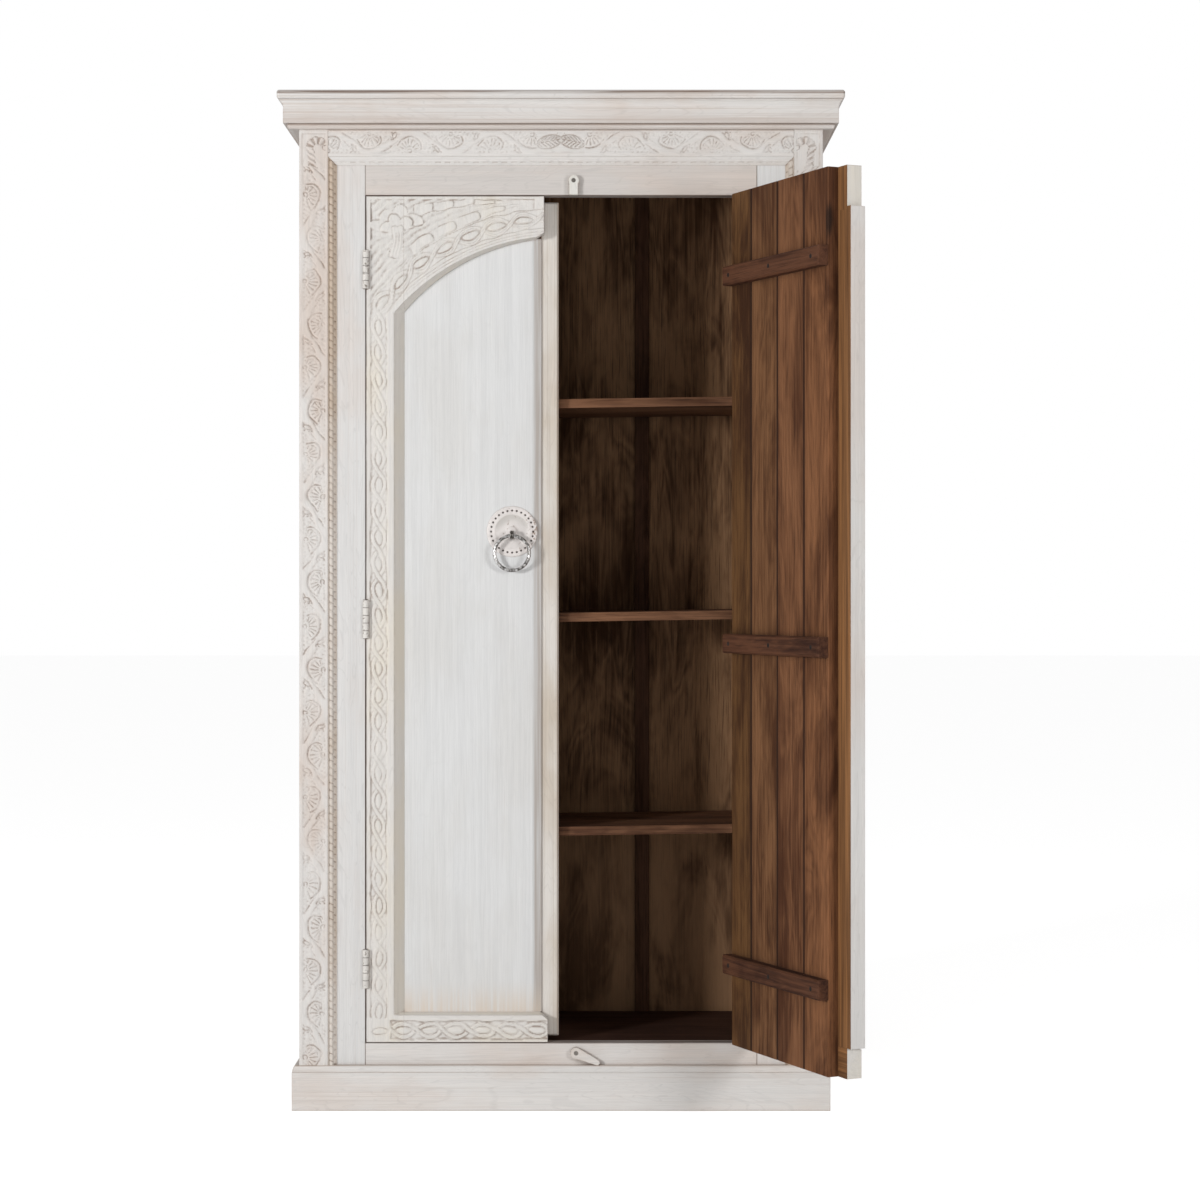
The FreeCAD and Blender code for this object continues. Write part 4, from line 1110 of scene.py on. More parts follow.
@dataclass(frozen=True)
class SpandrelCarving:
    """The carving of a door's face: bands beside the recess, a flower and rows of feathers."""

    arch_band: Guilloche = Guilloche(strand=4.6, eye_length=15.5, eye_width=6.0, ground=0.36)
    arch_eye_start: float = 15.46
    arch_eye_step: float = 6.7
    stile_band: Guilloche = Guilloche(
        pitch=47.4, swing=10.4, strand=3.7, eye_length=13.0, eye_width=5.6, depth=2.2,
    )
    stile_eye: float = 1409.0
    stile_offset: float = 27.0
    rail_band: Guilloche = Guilloche(pitch=48.2, swing=11.6, strand=4.2)
    rail_eye: float = 284.4
    rail_middle: float = 142.6
    rail_edge: float = 162.0
    rail_end: float = 309.0
    oval_centre: tuple[float, float] = (325.8, 140.5)
    oval_half: tuple[float, float] = (13.5, 6.0)
    moulding_offsets: tuple[float, float] = (8.2, 13.2)
    moulding_start: float = 1455.0
    arch_band_offset: float = 36.0
    arch_band_gain: float = 7.0
    arch_start: float = 1380.0
    field_offset: float = 17.0
    flower_centre: tuple[float, float] = (293.4, 1577.0)
    top_row_pitch: float = 37.0
    top_row_start: float = 266.0
    arch_row_pitch: float = 46.7
    arch_row_start: float = 35.75
    arch_row_per_degree: float = 8.06
    petal_layers: tuple[tuple[float, float, float, float], ...] = (
        (17.0, 3.0, 0.35, 0.55), (35.0, 3.6, 0.62, 0.20), (52.0, 4.2, 0.15, 0.05),
    )
    depth: float = 3.0

    def distances(self, middle: Heights, up: Heights) -> tuple[Heights, Heights, Heights]:
        """Give distances from the band's arc and the stile's arris, and the degrees from the crown.

        Args:
            middle: Distance from the middle of the opening, towards the hinge side.
            up: Height above the floor.

        Returns:
            Both distances and the angle.
        """
        rise = np.maximum(up - LAYOUT.band_centre, 0.0)
        angle = np.degrees(np.arctan2(middle, rise))
        return np.hypot(middle, rise) - LAYOUT.arch_radius, middle - LAYOUT.arris, angle

    def recess_depth(self, middle: Heights, up: Heights) -> Heights:
        """How deep the bevel of the recess lies behind the face; it narrows towards the arch's crown.

        Args:
            middle: Distance from the middle of the opening, towards the hinge side.
            up: Height above the floor.

        Returns:
            The depth, 0 outside the recess.
        """
        place = LAYOUT
        lift = place.foot_centre - place.arch_centre
        shrink = place.foot_radius - place.arch_radius
        rise = np.maximum(up - place.arch_centre, 0.0)
        twice = rise * lift + place.arch_radius * shrink
        square = lift * lift - shrink * shrink
        beyond = middle * middle + rise * rise - place.arch_radius**2
        arch = (twice + np.sqrt(np.maximum(twice * twice - square * beyond, 0.0))) / square
        low = (up - place.rail_top) / (place.rail_foot - place.rail_top)
        straight = np.minimum((place.arris - middle) / place.bevel, low)
        return np.clip(np.minimum(arch, straight), 0.0, 1.0) * place.recess

    def height(self, middle: Heights, up: Heights) -> Heights:
        """Give the relief of the whole face of a door.

        Args:
            middle: Distance from the middle of the opening, towards the hinge side.
            up: Height above the floor.

        Returns:
            Heights at or below zero.
        """
        recess = self.recess_depth(middle, up)
        from_arch, from_stile, _ = self.distances(middle, up)
        ground = self.ground(middle, up)
        inner, outer = self.moulding_offsets
        mouldings = 0.9 * line(from_arch - inner, 0.9) + 1.1 * line(from_arch - outer, 1.0)
        mouldings = mouldings * ease((up - self.moulding_start) / 40.0)
        rough = 0.12 * wander(middle, up, 9.0, 5.0) + 0.07 * wander(middle, up, 4.2, 6.0)
        worn = 0.80 + 0.20 * wander(middle, up, 120.0, 7.0)
        free_end = ease((middle + 18.5) / 3.5)
        middle, up = middle + 1.3 * wander(middle, up, 46.0, 1.0), up + 1.3 * wander(middle, up, 39.0, 2.0)
        from_arch, from_stile, angle = self.distances(middle, up)
        share = ease((from_arch - from_stile + 7.0) / 14.0) * ease((up - self.arch_start) / 20.0)
        offset = self.arch_band_offset - self.arch_band_gain * ease((angle - 36.0) / 14.0)
        phase = (angle - self.arch_eye_start) / self.arch_eye_step
        arch = self.arch_band.height(phase, from_arch - offset) - mouldings
        arch = np.minimum(arch, self.field(middle, up, from_arch - offset, angle) * ground)
        phase = (self.stile_eye - up) / self.stile_band.pitch
        stile = self.stile_band.height(phase, from_stile - self.stile_offset)
        stile = stile * ease((up - self.rail_edge - 1.0) / 4.0) * worn
        low = np.where(up < self.rail_edge, self.rail(middle, up), stile)
        carved = arch * share + low * (1.0 - share)
        carved = carved + rough * ease(-carved / 0.8)
        return np.where(recess > 0.0, 0.0, np.clip(carved, -self.depth - 0.4, 0.0) * free_end)

    def rail(self, middle: Heights, up: Heights) -> Heights:
        """The bottom rail's band, which ends in an oval at the hinge side.

        Args:
            middle: Distance from the middle of the opening, towards the hinge side.
            up: Height above the floor.

        Returns:
            Heights at or below zero.
        """
        phase = (self.rail_eye - middle) / self.rail_band.pitch
        band = self.rail_band.height(phase, up - self.rail_middle) * ease((self.rail_end - middle) / 3.0)
        beside = (middle - self.oval_centre[0]) / self.oval_half[0]
        above = (up - self.oval_centre[1]) / self.oval_half[1]
        return band - 1.8 * line((np.sqrt(beside**2 + above**2) - 1.0) * 7.0, 1.0)

    def ground(self, middle: Heights, up: Heights) -> Heights:
        """Where the field of flower and feathers may be cut: inside the door's plain edges.

        Args:
            middle: Distance from the middle of the opening, towards the hinge side.
            up: Height above the floor.

        Returns:
            1 inside and 0 at the edges.
        """
        clear_top = LAYOUT.door_top - 4.5 - up
        clear_side = LAYOUT.door_edge - 7.0 - middle
        return ease(clear_top / 1.2) * ease(clear_side / 1.2) * ease((middle - LAYOUT.notch_edge) / 6.0)

    def field(self, middle: Heights, up: Heights, off_band: Heights, angle: Heights) -> Heights:
        """The flower, the feathers and the blades between the arch band and the door's edges.

        Args:
            middle: Distance from the middle of the opening, towards the hinge side.
            up: Height above the floor.
            off_band: Distance from the arch band's middle.
            angle: Degrees from the arch's crown.

        Returns:
            Heights at or below zero.
        """
        beyond = off_band - self.field_offset
        height = self.flower(self.flower_centre[0] - middle, up - self.flower_centre[1])
        free = 1.0 - ease((height - 0.02) / 0.05)
        height = np.maximum(height, self.top_feathers(middle, up) * free)
        height = np.maximum(height, self.arch_feathers(angle, beyond) * free)
        height = np.maximum(height, self.long_ribs(beyond, angle) * free * (height < 0.05))
        height = np.maximum(height, self.blades(up, beyond, angle) * free)
        return -self.depth * (1.0 - np.clip(height, 0.0, 1.0)) * ease(beyond / 1.2)

    def flower(self, right: Heights, above: Heights) -> Heights:
        """Three layers of scalloped petals that open upwards from a ribbed stem.

        Args:
            right: Distance from the flower's middle, away from the hinges.
            above: Height over it.

        Returns:
            The relief, from 0 at its deepest to 1 at the face.
        """
        reach = np.hypot(right, above)
        turn = np.arctan2(right, above)
        height = np.zeros_like(reach)
        before = np.zeros_like(reach)
        for radius, lobes, start, low in self.petal_layers:
            scallop = np.abs(np.cos(lobes * (turn - start))) ** 0.7
            edge = radius * (0.76 + 0.24 * scallop + 0.05 * np.sin(5.0 * turn + radius))
            share = (reach - before) / np.maximum(edge - before, 1.0)
            layer = (low + (1.0 - low) * np.clip(share, 0.0, 1.0) ** 0.6) * ease((edge - reach) / 1.6)
            layer = layer * (1.0 - 0.35 * (1.0 - scallop) * ease((reach - 8.0) / 5.0))
            height = np.where(reach > before, layer, height)
            before = edge
        height = height * ease((1.35 - np.abs(turn + 0.1)) / 0.12)
        sway = right + 0.004 * above * above * (above < 0.0)
        stem = ease((10.5 - np.abs(sway)) / 1.2) * ease((6.0 - above) / 5.0) * ease((above + 46.0) / 12.0)
        ribs = 0.5 + 0.5 * np.cos(sway * 1.15)
        return np.maximum(height, stem * (0.55 + 0.40 * ribs))

    def tongues(self, along: Heights, across: Heights, pitch: float, half: Heights) -> Heights:
        """A row of overlapping tongues with blunt rounded ends.

        Args:
            along: Distance along the row.
            across: Distance from its middle line.
            pitch: Length of a tongue.
            half: Half the row's width.

        Returns:
            The relief, from 0 at its deepest to 1 at the face.
        """
        share = np.clip(np.abs(across) / half, 0.0, 1.3)
        phase = along / pitch + 0.16 * share**4
        part = phase - np.floor(phase)
        tip = ease((1.0 - part) / 0.05)
        swell = 1.0 - 0.35 * share * share
        return (0.28 + 0.70 * part) * tip * swell * ease((half - np.abs(across)) / 2.2)

    def top_feathers(self, middle: Heights, up: Heights) -> Heights:
        """A row of tongues along the top edge that narrows towards the middle of the cabinet.

        Args:
            middle: Distance from the middle of the opening, towards the hinge side.
            up: Height above the floor.

        Returns:
            The relief, from 0 at its deepest to 1 at the face.
        """
        along = self.top_row_start - middle
        across = up - np.minimum(1621.0 + 0.14 * (along - 14.0), 1634.0)
        half = np.clip(11.5 - 0.055 * along, 2.5, 11.5)
        reach = ease(along / 4.0) * ease((middle - 78.0) / 30.0)
        return self.tongues(along, across, self.top_row_pitch, half) * reach

    def arch_feathers(self, angle: Heights, beyond: Heights) -> Heights:
        """A row of tongues that follows the arch outside its band.

        Args:
            angle: Degrees from the arch's crown.
            beyond: Distance past the arch band's outer side.

        Returns:
            The relief, from 0 at its deepest to 1 at the face.
        """
        half = np.clip(9.0 * ease((angle - 6.0) / 17.0) + 1.5, 1.5, 9.0)
        along = (self.arch_row_start - angle) * self.arch_row_per_degree
        row = self.tongues(along, beyond - 12.5, self.arch_row_pitch, half)
        return row * ease((angle - 8.0) / 4.0) * ease((36.2 - angle) / 1.0)

    def long_ribs(self, beyond: Heights, angle: Heights) -> Heights:
        """Thin ribs that fill the narrowing field between the two rows of tongues.

        Args:
            beyond: Distance past the arch band's outer side.
            angle: Degrees from the arch's crown.

        Returns:
            The relief, from 0 at its deepest to 1 at the face.
        """
        wave = 0.5 + 0.5 * np.cos(math.tau * (beyond - 27.0) / 11.0)
        reach = ease((beyond - 21.5) / 1.5) * ease((angle - 10.0) / 5.0) * ease((38.0 - angle) / 2.0)
        return (0.12 + 0.62 * wave) * reach

    def blades(self, up: Heights, beyond: Heights, angle: Heights) -> Heights:
        """Long ribs that sweep from the flower's stem down the stile.

        Args:
            up: Height above the floor.
            beyond: Distance past the arch band's outer side.
            angle: Degrees from the arch's crown.

        Returns:
            The relief, from 0 at its deepest to 1 at the face.
        """
        wave = 0.5 + 0.5 * np.cos(math.tau * (beyond + 2.0) / 12.0)
        reach = ease((angle - 35.5) / 2.0) * ease((up - 1420.0) / 60.0) * ease((1572.0 - up) / 14.0)
        return (0.34 + 0.58 * wave) * reach


def unit_grid(columns: int, rows: int) -> tuple[Heights, Heights]:
    """Give each grid point's share across and up, one array row per grid row."""
    return np.meshgrid(np.linspace(0.0, 1.0, columns), np.linspace(0.0, 1.0, rows))


def bead_row(along: Heights, across: Heights, pitch: float, half_width: float) -> Heights:
    """Give a row of slanted rounded beads.

    Args:
        along: Distance along the row.
        across: Distance from its middle line.
        pitch: Distance between beads.
        half_width: Half a bead's width.

    Returns:
        1 on a bead's top and 0 between beads.
    """
    slanted = along + 0.35 * across + 0.8 * wander(along, across, 90.0, 8.0)
    beside = slanted - pitch * np.rint(slanted / pitch)
    reach = np.sqrt((beside / (0.47 * pitch)) ** 4 + (across / half_width) ** 4)
    return np.sqrt(np.clip(1.0 - reach, 0.0, 1.0))


@dataclass
class CarvedBorder:
    """The carved boards and the bead strips round the doorway."""

    effects: Effects
    step: float = 1.4
    side_vine: Rinceau = Rinceau(pitch=154.8, half_width=19.5)
    side_crest: float = 1569.3
    side_middle_share: float = 0.48
    top_vine: Rinceau = Rinceau(pitch=146.0, half_width=18.5)
    top_crest: float = 123.0
    top_middle_share: float = 0.53
    leaf_start: float = 1692.0
    corner_leaf_centre: tuple[float, float] = (438.0, 1729.0)
    corner_leaf_depth: float = 3.2
    middle_leaf_half: float = 46.0
    middle_leaf_level: float = 1741.0
    middle_leaf_depth: float = 3.0
    hollow_gain: float = 1.35
    bead_step: float = 0.9
    bead_width: float = 15.0
    bead_columns: int = 19
    side_bead_pitch: float = 13.5
    top_bead_pitch: float = 17.0
    bead_depth: float = 2.4

    def build(self) -> None:
        """Build both sides and the top."""
        wash = Limewash("carved limewash upright", Grain.UPRIGHT, 2.3, carved=True, thin=0.9)
        level = Limewash("carved limewash level", Grain.ACROSS, 3.1, carved=True, thin=0.85)
        strip = Limewash(
            "bead limewash upright", Grain.UPRIGHT, 4.7, carved=True, thin=1.0, corner_dirt=0.9,
            paint=(0.70, 0.655, 0.61), warm=(0.54, 0.44, 0.35), wood=(0.18, 0.11, 0.07),
        )
        strip_level = Limewash("bead limewash level", Grain.ACROSS, 5.9, carved=True, thin=0.8)
        upright_wash, upright_strip = wash.material(self.effects), strip.material(self.effects)
        for side in Side:
            self.side_board(side, upright_wash)
            self.side_beads(side, upright_strip)
        self.top_board(level.material(self.effects))
        self.top_beads(strip_level.material(self.effects))

    def side_board(self, side: Side, material: bpy.types.Material) -> None:
        """The carved board up one side.

        Args:
            side: The side.
            material: The finish.
        """
        place = LAYOUT
        width = place.half_body - place.border_edge
        height = place.cornice_bottom - place.plinth_top
        label = side.name.lower()
        relief = ReliefMesh(f"carved_border_{label}", round(width / self.step), round(height / self.step))
        across, up = unit_grid(relief.columns, relief.rows)
        middle = place.border_edge + across * width
        up = place.plinth_top + up * height
        from_middle = middle - (place.border_edge + self.side_middle_share * width)
        heights = self.side_vine.height(self.side_crest - up, from_middle)
        fade = ease((up - self.leaf_start) / 6.0)
        heights = heights * (1.0 - fade) + self.corner_leaf(middle, up) * fade
        depth = place.border_face - heights + self.soft_edge(across, width)
        relief.shape(side.value * middle, up, depth, place.front)
        relief.carve(heights * self.hollow_gain, self.side_vine.depth)
        relief.finish(material, "carcass", (f"border_{label}",))

    def corner_leaf(self, middle: Heights, up: Heights) -> Heights:
        """A curled leaf that fills the corner of the border.

        Args:
            middle: Distance from the cabinet's middle.
            up: Height above the floor.

        Returns:
            Heights at or below zero.
        """
        outward = middle - self.corner_leaf_centre[0]
        above = up - self.corner_leaf_centre[1]
        reach = np.hypot(outward, above)
        turn = np.arctan2(above, outward)
        curl = ridge(reach - 14.0, 7.5, 2.0) * ease((turn + 0.4) / 0.5) * ease((2.9 - turn) / 0.3)
        curl = curl * (0.66 + 0.34 * np.cos(turn * 9.0))
        tip = ridge(np.hypot(outward + 13.5, above - 1.0), 5.5, 3.0)
        tail = ridge(outward - 12.0 + 0.10 * np.abs(above), 7.0, 2.0) * ease((1.0 - above) / 3.0)
        tail = tail * (0.66 + 0.34 * np.cos((above - 0.6 * outward) / 1.6))
        height = np.clip(np.maximum(np.maximum(curl, tip), tail), 0.0, 1.0)
        inside = ease((middle - 422.0) / 1.5) * ease((466.0 - middle) / 1.5) * ease((1757.0 - up) / 1.5)
        sunk = 0.34 * (1.0 - height) + 0.60 * line(height - 0.42, 0.22)
        return -self.corner_leaf_depth * sunk * inside

    def soft_edge(self, across: Heights, width: float) -> Heights:
        """Round the two long edges of a board a little."""
        return 0.9 * (line(across * width, 0.9) + line((1.0 - across) * width, 0.9))

    def top_board(self, material: bpy.types.Material) -> None:
        """The carved board over the doorway, mirrored about its middle.

        Args:
            material: The finish.
        """
        place = LAYOUT
        height = place.cornice_bottom - place.border_bottom
        width = 2 * place.border_edge
        relief = ReliefMesh("carved_border_top", round(width / self.step), round(height / self.step))
        share, up = unit_grid(relief.columns, relief.rows)
        x = (2.0 * share - 1.0) * place.border_edge
        up = place.border_bottom + up * height
        from_middle = up - (place.border_bottom + self.top_middle_share * height)
        heights = self.top_vine.height(np.abs(x) - self.top_crest, from_middle)
        centre = ease((self.middle_leaf_half - np.abs(x)) / 5.0)
        heights = heights * (1.0 - centre) + self.middle_leaf(x, up) * centre
        depth = place.border_face - heights + self.soft_edge((up - place.border_bottom) / height, height)
        relief.shape(x, up, depth, place.front)
        relief.carve(heights * self.hollow_gain, self.top_vine.depth)
        relief.finish(material, "carcass", ("border_top",))

    def middle_leaf(self, x: Heights, up: Heights) -> Heights:
        """Two ribbed leaves that spread like wings in the middle of the top.

        Args:
            x: Place across the cabinet.
            up: Height above the floor.

        Returns:
            Heights at or below zero.
        """
        out = np.abs(x)
        above = up - self.middle_leaf_level + 0.16 * (out - 19.0)
        half = 11.5 * np.sqrt(np.clip(np.sin(math.pi * np.clip((out + 2.0) / 45.0, 0.0, 1.0)), 0.0, 1.0))
        edge = np.abs(above) - half
        ribs = (0.5 + 0.5 * np.cos((out * 0.95 + np.abs(above) * 1.1) * 0.95)) ** 2
        vein = line(above - 1.5, 0.9)
        inside = ease((-edge - 0.5) / 1.2)
        cut = np.maximum(0.80 * ribs, 0.85 * vein) * inside
        outline = line(edge - 0.4, 1.6) * (out < 44.0)
        cup = line(np.hypot(x, up - 1755.0) - 6.0, 1.0) * (up < 1757.0)
        ground = 0.26 * ease((edge - 0.5) / 2.0)
        board = ease((19.5 - np.abs(up - 1739.0)) / 1.6)
        cut = np.maximum(np.maximum(cut, 0.9 * outline), np.maximum(ground, 0.6 * cup))
        return -self.middle_leaf_depth * cut * board

    def bead_section(self, outer: Heights) -> Heights:
        """Depth of a bead strip's plain section at a distance from its outer edge."""
        slope = np.clip((outer - 7.5) / 7.5, 0.0, 1.0)
        return LAYOUT.border_face + slope * 6.8

    def side_beads(self, side: Side, material: bpy.types.Material) -> None:
        """The bead strip up one side, mitred at its head.

        Args:
            side: The side.
            material: The finish.
        """
        place = LAYOUT
        label = side.name.lower()
        rows = round((place.border_bottom - place.plinth_top) / self.bead_step)
        relief = ReliefMesh(f"bead_strip_{label}", self.bead_columns, rows)
        share, up = unit_grid(relief.columns, relief.rows)
        outer = self.bead_width * (1.0 - share)
        top = place.border_bottom - outer
        up = place.plinth_top + up * (top - place.plinth_top)
        beads = bead_row(up, outer - 5.9, self.side_bead_pitch, 4.3)
        lobes = 0.75 * bead_row(up + 0.5 * self.side_bead_pitch, outer - 12.0, self.side_bead_pitch, 2.6)
        cut = ease((outer - 1.0) / 1.0) * ease((14.4 - outer) / 0.6)
        heights = -self.bead_depth * (1.0 - np.maximum(beads, lobes)) * cut
        depth = self.bead_section(outer) - heights
        relief.shape(side.value * (place.border_edge - outer), up, depth, place.front)
        # The slope beside the frame is coloured warm beige: painted shade on the slope.
        relief.carve(heights, self.bead_depth, warm=0.7 * ease((outer - 9.5) / 2.0))
        relief.finish(material, "carcass", (f"bead_{label}",))

    def top_beads(self, material: bpy.types.Material) -> None:
        """The bead strip over the doorway, mitred at both ends.

        Args:
            material: The finish.
        """
        place = LAYOUT
        columns = round(2 * place.border_edge / self.bead_step)
        relief = ReliefMesh("bead_strip_top", columns, self.bead_columns)
        share, up = unit_grid(relief.columns, relief.rows)
        outer = self.bead_width * (1.0 - up)
        x = (2.0 * share - 1.0) * (place.border_edge - outer)
        gap = x - self.top_bead_pitch * np.rint(x / self.top_bead_pitch)
        dash = ease((5.6 - np.abs(gap)) / 1.2)
        heights = -1.4 * line(outer - 10.4, 1.1) * dash - 0.5 * line(outer - 5.0, 0.8)
        relief.shape(x, place.border_bottom - outer, self.bead_section(outer) - heights, place.front)
        relief.carve(heights, self.bead_depth)
        relief.finish(material, "carcass", ("bead_top",))


@dataclass
class DoorFace:
    """The carved stile, bottom rail and spandrel of one door."""

    effects: Effects
    side: Side
    step: float = 1.5
    hinge_levels: tuple[float, float, float] = (253.5, 882.5, 1511.5)
    hinge_half: float = 34.5
    leaf_face: float = 349.0
    barrel: float = 6.1
    arris_start: float = 200.0
    hollow_gain: float = 1.15
    carving: SpandrelCarving = SpandrelCarving()

    def build(self) -> None:
        """Build the three carved pieces."""
        door = f"{self.side.name.lower()}_door"
        opened = self.side is Side.RIGHT
        upright = self.wash(f"{door} stile limewash", Grain.UPRIGHT, 6.1)
        level = self.wash(f"{door} rail limewash", Grain.ACROSS_OPEN if opened else Grain.ACROSS, 7.4)
        for label, maker, material in (
            ("stile", self.stile, upright),
            ("rail", self.rail, level),
            ("spandrel", self.spandrel, upright),
        ):
            relief, middle, up = maker(f"{door}_carved_{label}")
            heights = self.carving.height(middle, up)
            recess = self.carving.recess_depth(middle, up)
            depth = np.maximum(LAYOUT.front + recess - heights, self.barrel_seat(middle, up))
            relief.shape(self.side.value * middle, up, depth, LAYOUT.face_back)
            # Dark lines along the door's outer edge, its top edge and the recess arris: painted shade of the
            # gaps and the arris.
            rims = line(LAYOUT.door_edge - middle, 0.9) + line(LAYOUT.door_top - up, 0.9)
            rims = rims + line(recess - 0.8, 0.8) * (recess > 0.0) * (up > self.arris_start)
            warm = 0.85 * ease(recess / 1.0) * ease((LAYOUT.recess + 0.5 - recess) / 1.5)
            dark = np.clip(rims, 0.0, 1.0)
            relief.carve(heights * self.hollow_gain, self.carving.depth, warm=warm, dark=dark)
            if opened:
                relief.data.transform(open_turn())
            relief.finish(material, door, (f"{door}_{label}",))

    def wash(self, name: str, grain: Grain, seed: float) -> bpy.types.Material:
        """The limewash of a carved piece, whose back is bare.

        Args:
            name: Its name.
            grain: The way the grain runs.
            seed: Its pattern's number.

        Returns:
            The material.
        """
        back = OPEN_FACE_BACK if self.side is Side.RIGHT else FACE_BACK
        return Limewash(
            name, grain, seed, carved=True, bare=back, thin=0.6, warm=(0.725, 0.665, 0.565),
            paint=(0.690, 0.670, 0.650),
        ).material(self.effects)

    def barrel_seat(self, middle: Heights, up: Heights) -> Heights:
        """Depth of the rounds that clear the hinge barrels.

        Args:
            middle: Distance from the middle of the opening, towards the hinge side.
            up: Height above the floor.

        Returns:
            The depth, far in front elsewhere.
        """
        beside = np.clip(1.0 - ((LAYOUT.pin_x - middle) / self.barrel) ** 2, 0.0, 1.0)
        seat = LAYOUT.pin_y + self.barrel * np.sqrt(beside)
        near = np.zeros_like(up, dtype=bool)
        for level in self.hinge_levels:
            near |= np.abs(up - level) < self.hinge_half + 1.0
        return np.where(near & (middle > LAYOUT.pin_x - self.barrel), seat, -1000.0)

    def stile(self, name: str) -> tuple[ReliefMesh, Heights, Heights]:
        """Grid of the stile, whose columns follow the arris of the recess.

        Args:
            name: The piece's name.

        Returns:
            The grid, and the place across and the height of each of its points.
        """
        place = LAYOUT
        spring, _, joint = self.corner_levels()
        rows = self.stile_rows()
        curved = np.clip(place.arch_radius**2 - (rows - place.arch_centre) ** 2, 0.0, None) ** 0.5
        opening = place.recess_edge + 0.05 + (place.arris - place.recess_edge) * ease((rows - joint) / 90.0)
        arris = np.where(rows < spring, place.arris, np.where(rows < joint, curved, opening))
        outer = np.full_like(rows, place.door_edge)
        for level in self.hinge_levels:
            outer[np.abs(rows - level) < self.hinge_half] = self.leaf_face
        face = np.linspace(0.0, 1.0, 36)
        bevel = np.linspace(0.0, 1.0, 13)[1:]
        relief = ReliefMesh(name, len(face) + len(bevel), len(rows))
        front = outer[:, None] + (arris - outer)[:, None] * face[None, :]
        slope = arris[:, None] + (place.recess_edge - arris)[:, None] * bevel[None, :]
        middle = np.concatenate([front, slope], axis=1)
        return relief, middle, np.repeat(rows[:, None], middle.shape[1], axis=1)

    def corner_levels(self) -> tuple[float, float, float]:
        """Heights of the stile's arris, of the bevel's foot and of the arch's arris at the corner.

        Returns:
            The three heights.
        """
        place = LAYOUT
        spring = place.arch_centre + math.sqrt(place.arch_radius**2 - place.arris**2)
        foot = place.foot_centre + math.sqrt(place.foot_radius**2 - place.recess_edge**2)
        joint = place.arch_centre + math.sqrt(place.arch_radius**2 - place.recess_edge**2)
        return spring, foot, joint

    def stile_rows(self) -> Heights:
        """Heights of the stile's rows of points, which the spandrel's side edge shares.

        Returns:
            The heights, from the bottom up.
        """
        place = LAYOUT
        stops = [place.door_bottom, place.rail_top, place.rail_foot, *self.corner_levels(), place.door_top]
        for level in self.hinge_levels:
            stops.extend((level - self.hinge_half, level + self.hinge_half))
        return self.stations(sorted(stops))

    def stations(self, stops: list[float]) -> Heights:
        """Evenly spaced stations that fall on every stop.

        Args:
            stops: Places that get a station, in order.

        Returns:
            The stations.
        """
        parts = [np.array([stops[0]])]
        for start, end in zip(stops, stops[1:]):
            count = max(1, round((end - start) / self.step))
            parts.append(np.linspace(start, end, count + 1)[1:])
        return np.concatenate(parts)

    def rail(self, name: str) -> tuple[ReliefMesh, Heights, Heights]:
        """Grid of the bottom rail, whose free end has a notch on the left door.

        Args:
            name: The piece's name.

        Returns:
            The grid, and the place across and the height of each of its points.
        """
        place = LAYOUT
        rows = self.stations([place.door_bottom, 162.0, place.rail_top, 170.5, place.rail_foot])
        if self.side is Side.LEFT:
            end = np.interp(rows, [162.0, 170.4, 170.6], [24.5, 35.0, 37.4])
        else:
            end = np.full_like(rows, -22.0)
        columns = np.linspace(0.0, 1.0, round((place.recess_edge - end[0]) / self.step))
        relief = ReliefMesh(name, len(columns), len(rows))
        middle = place.recess_edge + (end - place.recess_edge)[:, None] * columns[None, :]
        return relief, middle, np.repeat(rows[:, None], len(columns), axis=1)

    def spandrel(self, name: str) -> tuple[ReliefMesh, Heights, Heights]:
        """Grid of the spandrel, whose rows rise from the recess to the top edge.

        Args:
            name: The piece's name.

        Returns:
            The grid, and the place across and the height of each of its points.
        """
        place = LAYOUT
        if self.side is Side.LEFT:
            columns = np.concatenate([
                np.linspace(place.recess_edge, place.notch_edge, 174),
                np.linspace(place.notch_edge - 0.02, 31.0, 11),
            ])
        else:
            columns = np.linspace(place.recess_edge, -22.0, 220)
        inner = place.foot_centre + np.sqrt(place.foot_radius**2 - columns**2)
        arris = place.arch_centre + np.sqrt(place.arch_radius**2 - columns**2)
        if self.side is Side.LEFT:
            notch = place.arch_centre + math.sqrt(place.arch_radius**2 - place.notch_edge**2)
            chamfer = np.interp(-columns, [-place.notch_edge, -31.0], [notch, notch + place.notch_rise])
            inner = np.where(columns < place.notch_edge - 0.01, chamfer, inner)
            arris = np.where(columns < place.notch_edge - 0.01, chamfer + 0.2, arris)
        rows = self.stile_rows()
        _, foot, joint = self.corner_levels()
        bevel = (rows[(rows >= foot) & (rows < joint)] - foot) / (joint - foot)
        face = (rows[rows >= joint] - joint) / (place.door_top - joint)
        relief = ReliefMesh(name, len(columns), len(bevel) + len(face))
        low = inner[None, :] + (arris - inner)[None, :] * bevel[:, None]
        high = arris[None, :] + (place.door_top - arris)[None, :] * face[:, None]
        up = np.concatenate([low, high], axis=0)
        return relief, np.repeat(columns[None, :], up.shape[0], axis=0), up


